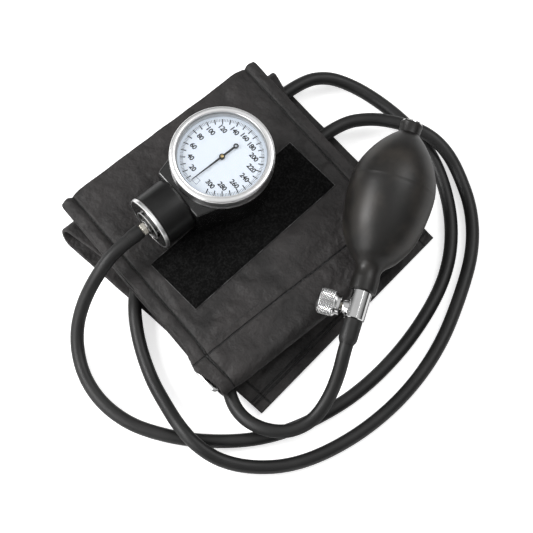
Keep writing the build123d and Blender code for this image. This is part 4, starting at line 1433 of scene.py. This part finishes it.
@dataclass
class Gauge:
    """Dial gauge: case, capsule housing, bezel, glass, dial and pointer."""

    at: Point2 = (8.6, 25.1)
    base: float = 27.4
    drum_radius: float = 28.5
    drum_height: float = 31.8
    rod_z: float = 16.65
    housing_radius: float = 16.65
    housing: Point2 = (33.0, 52.0)
    neck: tuple[Point2, Point2] = ((-16.0, 23.0), (-33.4, 18.0))
    neck_z: Point2 = (2.5, 28.1)
    neck_wall: float = 2.5
    neck_pocket: float = 12.0
    cap_radius: float = 17.0
    step_radius: float = 9.35
    hex_width: float = 7.0
    bezel_radius: float = 30.5
    lip_radius: float = 26.5
    spacer_inner: float = 25.9
    bezel_top: float = 38.1
    bezel_height: float = 9.5
    glass_z: Point2 = (35.6, 37.2)
    dial_top: float = 32.6
    numeral_radius: float = 18.1
    numeral_size: float = 4.1
    tick_radii: tuple[float, float, float] = (21.1, 22.5, 24.3)
    bold_width: float = 0.62
    fine_width: float = 0.24
    ink_height: float = 0.03
    degrees_per_unit: float = 1.12
    scale_turn: float = math.radians(4.3)
    full_scale: int = 300
    pointer_tip: float = 22.4
    pointer_tail: float = 10.4

    @property
    def place(self) -> Matrix:
        """Place of the pointer's axis at the gauge's back."""
        return Matrix.Translation((*self.at, self.base))

    @property
    def along(self) -> Matrix:
        """Place of the capsule's axis, with +Z towards six o'clock."""
        level = Matrix.Translation((0, 0, self.rod_z))
        return self.place @ level @ Matrix.Rotation(-math.pi / 2, 4, "Y")

    def drum(self) -> Shape:
        """Round case with a rounded back edge.

        Returns:
            The case.
        """
        radius, top = self.drum_radius, self.drum_height
        return turned([
            (0.0, 0.0), (radius - 2.6, 0.0), (radius - 1.0, 0.5), (radius, 2.2), (radius, top),
            (0.0, top),
        ])

    def wings(self) -> Shape:
        """Tapered neck between drum and housing, with a pocket for the movement.

        Returns:
            The neck.
        """
        (near_x, near_y), (far_x, far_y) = self.neck
        low, high = self.neck_z
        mesh = block((1.0, 1.0, high - low), (0.0, 0.0, (high + low) / 2))
        for vert in mesh.verts:
            far = vert.co.x < 0
            x, half = (far_x, far_y) if far else (near_x, near_y)
            vert.co = (x, math.copysign(half, vert.co.y), vert.co.z)
        middle = (self.neck[0][0] + self.neck[1][0]) / 2
        long_edges = [
            edge for edge in mesh.edges if min(vert.co.x for vert in edge.verts) < middle
        ]
        bmesh.ops.bevel(
            mesh,
            geom=long_edges,
            offset=1.3,
            segments=3,
            profile=0.5,
            affect="EDGES",
            material=-1,
        )
        mesh.normal_update()
        near = [face for face in mesh.faces if face.normal.x > 0.9]
        bmesh.ops.inset_region(mesh, faces=near, thickness=self.neck_wall)
        for vert in near[0].verts:
            vert.co.x -= self.neck_pocket
            vert.co.y *= 0.8
        return mesh

    def capsule_barrel(self) -> Shape:
        """Housing of the capsule, with a rounded shoulder.

        Returns:
            The housing, along the capsule's axis.
        """
        radius, (start, end) = self.housing_radius, self.housing
        return turned([
            (0.0, start - 0.6), (radius - 2.6, start - 0.6), (radius - 0.9, start + 0.1),
            (radius - 0.2, start + 0.9), (radius, start + 2.2), (radius, end - 0.3),
            (radius - 0.3, end), (0.0, end),
        ])

    def cap(self) -> Shape:
        """Cap's flat face and its two steps for the fitting.

        Returns:
            The face, along the capsule's axis.
        """
        start, step = self.housing[1], self.step_radius
        outer = self.cap_radius - 1.0
        return turned([
            (0.0, start + 0.6), (outer, start + 0.6), (outer, start + 2.8), (step, start + 2.8),
            (step, start + 3.8), (5.2, start + 3.8), (5.2, start + 5.2), (4.9, start + 5.5),
            (0.0, start + 5.5),
        ])

    def cap_rims(self) -> Shape:
        """Bright rims round the cap and round its first step.

        Returns:
            Both rims, along the capsule's axis.
        """
        start, radius, step = self.housing[1], self.cap_radius, self.step_radius
        rim = turned([
            (radius - 1.0, start + 0.6), (radius - 0.3, start + 0.6), (radius, start + 0.9),
            (radius, start + 2.5), (radius - 0.5, start + 3.0), (radius - 1.0, start + 3.0),
            (radius - 1.0, start + 0.6),
        ])
        inner = turned([
            (step - 0.8, start + 3.6), (step, start + 3.6), (step, start + 3.9),
            (step - 0.3, start + 4.1), (step - 0.8, start + 4.1), (step - 0.8, start + 3.6),
        ])
        return joined(rim, inner)

    def fitting(self) -> Shape:
        """Hexagon of the inlet fitting, with a collar before the hose.

        Returns:
            The fitting, along the capsule's axis.
        """
        start = self.housing[1] + 5.5
        mesh = bmesh.new()
        bmesh.ops.create_cone(
            mesh,
            cap_ends=True,
            segments=6,
            radius1=self.hex_width / math.sqrt(3),
            radius2=self.hex_width / math.sqrt(3),
            depth=2.9,
            matrix=Matrix.Translation((0, 0, start + 1.45)),
        )
        collar = turned([(0.0, start), (2.9, start), (2.9, start + 3.4), (0.0, start + 3.4)], 48)
        return joined(mesh, collar)

    def washer(self) -> Shape:
        """Rubber washer under the cap.

        Returns:
            The washer, along the capsule's axis.
        """
        start, radius = self.housing[1], self.housing_radius
        return turned([
            (14.7, start), (radius, start), (radius, start + 0.6),
            (14.7, start + 0.6), (14.7, start),
        ])

    def bezel(self) -> Shape:
        """Rolled ring: bead at the foot, round shoulder, sloping face and thin lip.

        Returns:
            The ring.
        """
        radius, lip, top = self.bezel_radius, self.lip_radius, self.bezel_top
        low = top - self.bezel_height
        shoulder = [
            (radius - 1.9 + 1.9 * math.cos(a), top - 2.2 + 1.9 * math.sin(a))
            for a in (n * math.pi / 16 for n in range(8))
        ]
        return turned([
            (radius - 1.4, low), (radius - 0.5, low), (radius - 0.1, low + 0.4),
            (radius - 0.1, low + 1.1), (radius - 0.35, low + 1.5), (radius - 0.35, low + 2.0),
            (radius, low + 2.4),
            *shoulder,
            (radius - 2.2, top - 0.18), (lip + 0.9, top - 0.45), (lip + 0.55, top - 0.2),
            (lip + 0.25, top - 0.2), (lip, top - 0.45), (lip, top - 0.85),
            (radius - 2.4, top - 0.85), (radius - 2.4, low + 3.25), (radius - 1.4, low + 3.25),
            (radius - 1.4, low),
        ], 128)

    def glass(self) -> Shape:
        """Flat pane.

        Returns:
            The pane.
        """
        low, high = self.glass_z
        outer = self.drum_radius - 1.0
        return turned([(0.0, low), (outer, low), (outer, high), (0.0, high)])

    def card(self) -> Shape:
        """Dial card with the shaft's hole.

        Returns:
            The card.
        """
        outer, top = self.drum_radius - 1.0, self.dial_top
        return turned([
            (1.6, top - 0.8), (outer, top - 0.8), (outer, top), (1.6, top), (1.6, top - 0.8),
        ])

    def spacer(self) -> Shape:
        """White ring between dial and glass.

        Returns:
            The ring.
        """
        outer, inner = self.drum_radius - 1.0, self.spacer_inner
        low, high = self.dial_top, self.glass_z[0]
        return turned([(inner, low), (outer, low), (outer, high), (inner, high), (inner, low)])

    def heading(self, value: float) -> float:
        """Heading of a pressure: zero beside six o'clock, then clockwise."""
        return math.pi + self.scale_turn - math.radians(self.degrees_per_unit * value)

    def numerals(self) -> Shape:
        """Plain numbers every 20 units, upright with twelve o'clock up.

        Returns:
            All the numbers.
        """
        made = []
        for value in range(20, self.full_scale + 1, 20):
            text = bpy.data.curves.new("number", "FONT")
            text.body = str(value)
            text.size = self.numeral_size
            text.align_x = "CENTER"
            text.align_y = "CENTER"
            text.offset = 0.14
            text.resolution_u = 3
            text.space_character = 0.95
            shape = flattened(text)
            angle = self.heading(value)
            radius = self.numeral_radius
            height = self.dial_top + self.ink_height
            spot = (radius * math.cos(angle), radius * math.sin(angle), height)
            shape.transform(Matrix.Translation(spot) @ Matrix.Rotation(-math.pi / 2, 4, "Z"))
            made.append(shape)
        return joined(*made)

    def mark(self, value: float, inner: float, outer: float, width: float) -> Shape:
        """One radial line of the scale.

        Args:
            value: the pressure it marks.
            inner: radius of its inner end.
            outer: radius of its outer end.
            width: its width.

        Returns:
            The thin raised line.
        """
        shape = block(
            (outer - inner, width, self.ink_height),
            ((outer + inner) / 2, 0.0, self.dial_top + 0.025),
        )
        shape.transform(Matrix.Rotation(self.heading(value), 4, "Z"))
        return shape

    def bold_marks(self) -> Shape:
        """Black lines every 10 units.

        Returns:
            All the lines.
        """
        inner, _, outer = self.tick_radii
        values = range(10, self.full_scale + 1, 10)
        return joined(*[self.mark(value, inner, outer, self.bold_width) for value in values])

    def fine_marks(self) -> Shape:
        """Grey lines every 2 units, and the box at zero.

        Returns:
            All the lines.
        """
        _, inner, outer = self.tick_radii
        values = [value for value in range(4, self.full_scale + 1, 2) if value % 10]
        lines = [self.mark(value, inner, outer, self.fine_width) for value in values]
        for value, near, far, width in (
            (-4.6, 18.9, 22.3, 0.22), (4.6, 18.9, 22.3, 0.22), (0.0, 22.1, 22.3, 3.5),
            (0.0, 18.9, 19.1, 3.1),
        ):
            lines.append(self.mark(value, near, far, width))
        return joined(*lines)

    def needle(self) -> Shape:
        """Pointer: tapered blade, tail with an open ring, and boss.

        Returns:
            The pointer at rest.
        """
        low = self.dial_top + 1.0
        thick = 0.35
        blade = block((self.pointer_tip, 1.2, thick), (-self.pointer_tip / 2, 0, low + thick / 2))
        for vert in blade.verts:
            if vert.co.x < -1:
                vert.co.y *= 0.35
        tail_end = self.pointer_tail - 1.1
        tail = block((tail_end, 1.15, thick), (tail_end / 2, 0, low + thick / 2))
        eye = turned([
            (0.8, low), (1.55, low), (1.55, low + thick), (0.8, low + thick), (0.8, low),
        ], 40)
        eye.transform(Matrix.Translation((self.pointer_tail, 0, 0)))
        boss = turned([
            (0.7, low), (1.75, low), (1.75, low + 0.55), (1.5, low + 0.75), (0.7, low + 0.75),
            (0.7, low),
        ], 48)
        return joined(blade, tail, eye, boss)

    def hub(self) -> Shape:
        """Domed brass cap on the shaft's end.

        Returns:
            The cap.
        """
        low = self.dial_top + 1.35
        return turned([
            (0.0, low), (1.05, low), (1.05, low + 0.45), (0.85, low + 0.75),
            (0.45, low + 0.9), (0.0, low + 0.9),
        ], 40)

    def build(self, finishes: Finishes) -> None:
        """Makes the gauge's outer pieces, dial and pointer.

        Args:
            finishes: the object's finishes.
        """
        here, axis = self.place, self.along
        case, dial = "case_black", "dial_white"
        plans = [
            (self.drum, "gauge_drum", finishes.case, case, ["gauge_case"], 0.2, here),
            (self.wings, "gauge_neck", finishes.case, case, ["gauge_case"], 0.0, here),
            (self.capsule_barrel, "capsule_barrel", finishes.housing, case,
             ["capsule_housing"], 0.0, axis),
            # The cap's face wears the chrome copy painted dark, a painted dark reflection; its
            # rims keep the satin chrome.
            (self.cap, "capsule_cap_face", finishes.chrome_painted_dark, "chrome",
             ["capsule_cap"], 0.0, axis),
            (self.cap_rims, "capsule_cap_rims", finishes.satin, "chrome",
             ["capsule_cap"], 0.0, axis),
            (self.fitting, "inlet_hexagon", finishes.nickel, "nickel",
             ["inlet_barb"], 0.25, axis),
            (self.washer, "cap_washer_ring", finishes.soft_rubber, "washer_rubber",
             ["cap_washer"], 0.0, axis),
            (self.bezel, "bezel_chrome", finishes.satin, "chrome",
             ["bezel_ring"], 0.0, here),
            (self.glass, "dial_window", finishes.glass, "dial_glass",
             ["dial_glass"], 0.1, here),
            (self.card, "dial_card_disc", finishes.dial, dial, ["dial_plate"], 0.0, here),
            (self.spacer, "dial_spacer_ring", finishes.white_plastic, "spacer_plastic",
             ["dial_spacer"], 0.0, here),
            (self.numerals, "dial_numerals", finishes.ink, dial, [], 0.0, here),
            (self.bold_marks, "dial_bold_marks", finishes.ink, dial, [], 0.0, here),
            (self.fine_marks, "dial_fine_marks", finishes.fine_ink, dial, [], 0.0, here),
        ]
        for shape, name, finish, slot, nodes, edge, place in plans:
            Piece(name, finish, slot, Body.BASE, nodes, edge, place).make(shape())
        swinging = Body.POINTER
        blade = Piece("pointer_blade", finishes.needle_paint, "pointer_black", swinging)
        blade.stands_for, blade.place = ["pointer"], here
        blade.make(self.needle())
        hub = Piece("pointer_hub", finishes.brass, "movement_brass", swinging)
        hub.stands_for, hub.place = ["pointer_cap"], here
        hub.make(self.hub())


# The bulb and its valve


@dataclass
class Bulb:
    """Rubber bulb with its intake and the release valve on its lower mouth."""

    low: Point3 = (20.4, -84.8, 45.6)
    high: Point3 = (106.8, -28.2, 57.9)
    radius: float = 25.0
    low_neck: float = 8.0
    high_neck: float = 6.6
    mould_line: float = 0.62
    valve_radius: float = 6.1
    valve_length: float = 17.0
    needle_at: float = 11.0
    knob_radius: float = 7.5
    knob: Point2 = (11.6, 22.6)
    diamonds: int = 30
    knurl_depth: float = 0.32
    knurl_rows: int = 46

    @property
    def length(self) -> float:
        """Length from mouth to mouth."""
        return math.dist(self.low, self.high)

    @property
    def place(self) -> Matrix:
        """Frame on the lower mouth.

        Returns:
            The frame, +Z along the bulb and +Y level.
        """
        along = (Vector(self.high) - Vector(self.low)).normalized()
        level = Vector((0, 0, 1)).cross(along).normalized()
        turn = Matrix((level.cross(along), level, along)).transposed().to_4x4()
        return Matrix.Translation(self.low) @ turn

    @property
    def release(self) -> Matrix:
        """Frame on the needle's axis, with +Z out of the valve."""
        down = Matrix.Translation((0, 0, -self.needle_at))
        return self.place @ down @ Matrix.Rotation(-math.pi / 2, 4, "X")

    def skin(self) -> Shape:
        """The bulb's rubber with both mouths and a faint mould line round it.

        Returns:
            The skin.
        """
        length, radius = self.length, self.radius
        side = smooth_line([
            (self.low_neck, 7.0), (0.32 * radius, 0.14 * length),
            (0.60 * radius, 0.215 * length), (0.88 * radius, 0.35 * length),
            (radius, 0.56 * length), (0.94 * radius, 0.69 * length),
            (0.74 * radius, 0.80 * length), (0.48 * radius, 0.885 * length),
            (self.high_neck - 0.2, length - 6.5),
        ])
        mouth = length
        return turned([
            (5.3, 0.4), (5.5, 0.0), (self.low_neck - 0.5, 0.0), (self.low_neck, 0.5),
            (self.low_neck, 3.0),
            *self.with_mould_line(side),
            (self.high_neck - 0.2, mouth - 3.0), (self.high_neck + 0.2, mouth - 0.6),
            (self.high_neck - 0.1, mouth), (4.1, mouth), (4.1, mouth - 4.0), (0.0, mouth - 4.0),
        ], 144)

    def with_mould_line(self, side: Sequence[Point2]) -> list[Point2]:
        """Adds a low ridge, where the bulb's mould closes.

        Args:
            side: points of radius and height, from mouth to mouth.

        Returns:
            The points with the ridge's among them.
        """
        middle = self.mould_line * self.length
        below = [point for point in side if point[1] < middle - 0.6]
        above = [point for point in side if point[1] > middle + 0.6]
        (near, low), (far, high) = below[-1], above[0]
        reach = near + (far - near) * (middle - low) / (high - low)
        ridge = [(reach, middle - 0.4), (reach + 0.08, middle), (reach, middle + 0.4)]
        return [*below, *ridge, *above]

    def intake(self) -> Shape:
        """Chrome flange of the intake with its air hole.

        Returns:
            The flange.
        """
        top = self.length
        return turned([
            (1.2, top - 7.9), (4.0, top - 7.9), (4.0, top), (6.0, top),
            (6.2, top + 0.3), (6.1, top + 0.9), (5.6, top + 1.2), (2.0, top + 1.2),
            (1.2, top + 0.8), (1.2, top - 7.9),
        ])

    def valve(self) -> Shape:
        """Chrome valve body with its side boss.

        Returns:
            The body.
        """
        radius, length = self.valve_radius, self.valve_length
        body = turned([
            (0.0, 0.0), (radius - 0.4, 0.0), (radius, -0.4), (radius, -length + 0.4),
            (radius - 0.4, -length), (0.0, -length),
        ])
        boss = turned([
            (0.0, 0.0), (4.2, 0.0), (4.2, 7.6), (3.8, 8.2), (2.5, 8.2), (2.5, 7.0), (0.0, 7.0),
        ], 64)
        down = Matrix.Translation((0, 0, -self.needle_at))
        boss.transform(down @ Matrix.Rotation(-math.pi / 2, 4, "X"))
        return joined(body, boss)

    def knurled(self) -> Shape:
        """Thumb knob with a diamond knurl between plain chamfered ends.

        Returns:
            The knob, with a UV map in diamonds.
        """
        start, end = self.knob
        radius, depth, rows = self.knob_radius, self.knurl_depth, self.knurl_rows
        first, last = start + 1.5, end - 1.5
        band = [
            (radius - depth, first + (last - first) * n / rows) for n in range(rows + 1)
        ]
        shape = turned([
            (0.0, start), (radius - 1.4, start), (radius - depth, start + 1.0),
            *band,
            (radius - depth, end - 1.0), (radius - 1.6, end), (3.4, end), (3.0, end - 0.5),
            (0.0, end - 0.5),
        ], 8 * self.diamonds)
        pitch = math.tau * radius / self.diamonds
        for vert in shape.verts:
            if not first + 0.05 < vert.co.z < last - 0.05:
                continue
            reach = math.hypot(vert.co.x, vert.co.y)
            turn = math.atan2(vert.co.y, vert.co.x) / math.tau * self.diamonds
            rise = (vert.co.z - first) / pitch
            ridges = [abs(((turn + way * rise) % 1) - 0.5) * 2 for way in (1, -1)]
            grown = (reach + depth * min(ridges) * 1.15) / reach
            vert.co.x *= grown
            vert.co.y *= grown
        layer = shape.loops.layers.uv.new("knurl")
        for face in shape.faces:
            middle = face.calc_center_median()
            near = math.atan2(middle.y, middle.x)
            cut = first < middle.z < last
            for loop in face.loops:
                x, y, z = loop.vert.co
                turn = near + (math.atan2(y, x) - near + math.pi) % math.tau - math.pi
                place = (turn / math.tau * self.diamonds, (z - first) / pitch)
                loop[layer].uv = place if cut else (0.0, 0.0)
        return shape

    def collar(self) -> Shape:
        """Plain collar behind the knob.

        Returns:
            The collar.
        """
        return turned([
            (0.0, 9.4), (5.5, 9.4), (5.8, 9.8), (5.8, 11.3), (5.5, 11.6), (0.0, 11.6),
        ], 64)

    def stem(self) -> Shape:
        """Stem between valve and collar, cut with a fine thread's rings.

        Returns:
            The stem.
        """
        profile = [(0.0, 4.5)]
        for n in range(8):
            profile += [(2.38, 4.5 + 0.6 * n), (2.15, 4.8 + 0.6 * n)]
        return turned([*profile, (2.38, 9.4), (0.0, 9.4)], 48)

    def build(self, finishes: Finishes) -> None:
        """Makes the bulb, the intake, the valve and the knob.

        Args:
            finishes: the object's finishes.
        """
        here, side = self.place, self.release
        chrome, nickel = finishes.chrome, finishes.nickel
        base, knob = Body.BASE, Body.KNOB
        plans = [
            (self.skin, "bulb_skin", finishes.bulb, "bulb_rubber", base, ["bulb"], here),
            (self.intake, "intake_flange", chrome, "chrome", base, ["intake_body"], here),
            (self.valve, "valve_chrome", chrome, "chrome", base, ["valve_body"], here),
            (self.knurled, "knob_knurled", finishes.knurling, "chrome", knob,
             ["release_knob"], side),
            (self.collar, "knob_collar", chrome, "chrome", knob, ["release_collar"], side),
            (self.stem, "stem_thread", nickel, "nickel", knob, ["release_stem"], side),
        ]
        for shape, name, finish, slot, body, nodes, place in plans:
            Piece(name, finish, slot, body, nodes, 0.0, place).make(shape())


# The inner pieces


class Movement:
    """Inner pieces, which keep their solids and get their metals."""

    def build(self, finishes: Finishes) -> None:
        """Dresses every solid that stays shown.

        Args:
            finishes: the object's finishes.
        """
        wear = {
            finishes.brass: [
                "bottom_plate", "top_plate", "plate_pillars", "sector_gear",
                "pinion_arbor", "spring_collet", "capsule_button",
            ],
            finishes.bronze: ["hairspring", "capsule"],
            finishes.steel: [
                "plate_screws", "sector_arbor", "push_rod", "intake_ball", "outlet_ball",
            ],
            finishes.nickel: ["needle", "intake_retainer"],
            finishes.chrome: ["bulb_spigot"],
        }
        for finish, nodes in wear.items():
            for node in nodes:
                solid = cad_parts[node]
                solid.data.materials.clear()
                solid.data.materials.append(finish)
                LOG.info("dressed %s", node)


# The studio


@dataclass
class Studio:
    """Camera, pale table, soft light and white surroundings."""

    target: Point3 = (0.0, -0.025, 0.0)
    distance: float = 1.100
    azimuth: float = -39.8
    elevation: float = 69.0
    lens: float = 124.8
    sensor: float = 36.0
    world_strength: float = 0.60
    table_glow: float = 0.60
    lamps: tuple[tuple[str, Point3, float, float], ...] = (
        ("key_light", (-0.85, 0.80, 1.00), 0.6, 16.0),
        ("side_light", (-1.15, 0.10, 0.60), 0.8, 7.0),
        ("fill_light", (0.9, -0.2, 1.3), 0.8, 7.0),
    )

    def camera(self) -> None:
        """Camera at the photograph's angle."""
        turn, rise = math.radians(self.azimuth), math.radians(self.elevation)
        level = math.cos(rise) * self.distance
        eye = Vector(self.target) + Vector((
            math.sin(turn) * level, -math.cos(turn) * level, math.sin(rise) * self.distance,
        ))
        data = bpy.data.cameras.new("camera")
        data.lens = self.lens
        data.sensor_width = self.sensor
        made = bpy.data.objects.new("camera", data)
        made.location = eye
        look = Vector(self.target) - eye
        made.rotation_euler = look.to_track_quat("-Z", "Y").to_euler()
        bpy.context.scene.collection.objects.link(made)
        bpy.context.scene.camera = made

    def lamp(self, name: str, place: Point3, size: float, power: float) -> None:
        """A soft square lamp that looks at the object.

        Args:
            name: what the lamp is called.
            place: where it hangs.
            size: length of its sides.
            power: its power in watts.
        """
        data = bpy.data.lights.new(name, "AREA")
        data.size = size
        data.energy = power
        made = bpy.data.objects.new(name, data)
        made.location = place
        look = Vector(self.target) - Vector(place)
        made.rotation_euler = look.to_track_quat("-Z", "Y").to_euler()
        bpy.context.scene.collection.objects.link(made)

    def table(self) -> None:
        """White table that keeps the object's shadow and is white where it is lit."""
        mesh = bmesh.new()
        bmesh.ops.create_grid(mesh, x_segments=2, y_segments=2, size=2.0)
        data = bpy.data.meshes.new("table_top")
        mesh.to_mesh(data)
        mesh.free()
        made = bpy.data.objects.new("table_top", data)
        bpy.context.scene.collection.objects.link(made)
        graph = Graph("table_white")
        seen = graph.node("ShaderNodeLightPath", {}, {}, "Is Camera Ray")
        graph.surface(
            Base_Color=grey(0.86),
            Roughness=0.9,
            Specular_IOR_Level=0.1,
            Emission_Color=grey(1.0),
            Emission_Strength=self.table_glow * seen,
        )
        data.materials.append(graph.material)

    def surroundings(self) -> None:
        """White world, greyer towards the horizon where only gloss sees it."""
        world = bpy.data.worlds.new("studio_world")
        world.use_nodes = True
        tree = world.node_tree
        back = tree.nodes["Background"]
        place = tree.nodes.new("ShaderNodeTexCoord")
        split = tree.nodes.new("ShaderNodeSeparateXYZ")
        ramp = tree.nodes.new("ShaderNodeValToRGB")
        tree.links.new(place.outputs["Generated"], split.inputs[0])
        tree.links.new(split.outputs[2], ramp.inputs[0])
        tree.links.new(ramp.outputs[0], back.inputs["Color"])
        stops = (0.15, grey(0.05)), (0.8, grey(1.0))
        for element, (height, colour) in zip(ramp.color_ramp.elements, stops):
            element.position, element.color = height, colour
        back.inputs["Strength"].default_value = self.world_strength
        bpy.context.scene.world = world

    def build(self) -> None:
        """Sets the whole studio."""
        self.camera()
        self.table()
        self.surroundings()
        for name, place, size, power in self.lamps:
            self.lamp(name, place, size, power)
        bpy.context.scene.view_settings.view_transform = "Standard"


def main() -> None:
    """Builds the studio, the hoses and then the object from the table up."""
    logging.basicConfig(level=logging.INFO, format="%(message)s")
    gauge = Gauge()
    Studio().build()
    cuff = Cuff()
    finishes = Finishes(gauge.at, cuff.seams)
    for hose in (GAUGE_HOSE, BULB_HOSE):
        hose.build(finishes)
    cuff.build(finishes)
    gauge.build(finishes)
    Bulb().build(finishes)
    Movement().build(finishes)


if __name__ == "__main__":
    main()
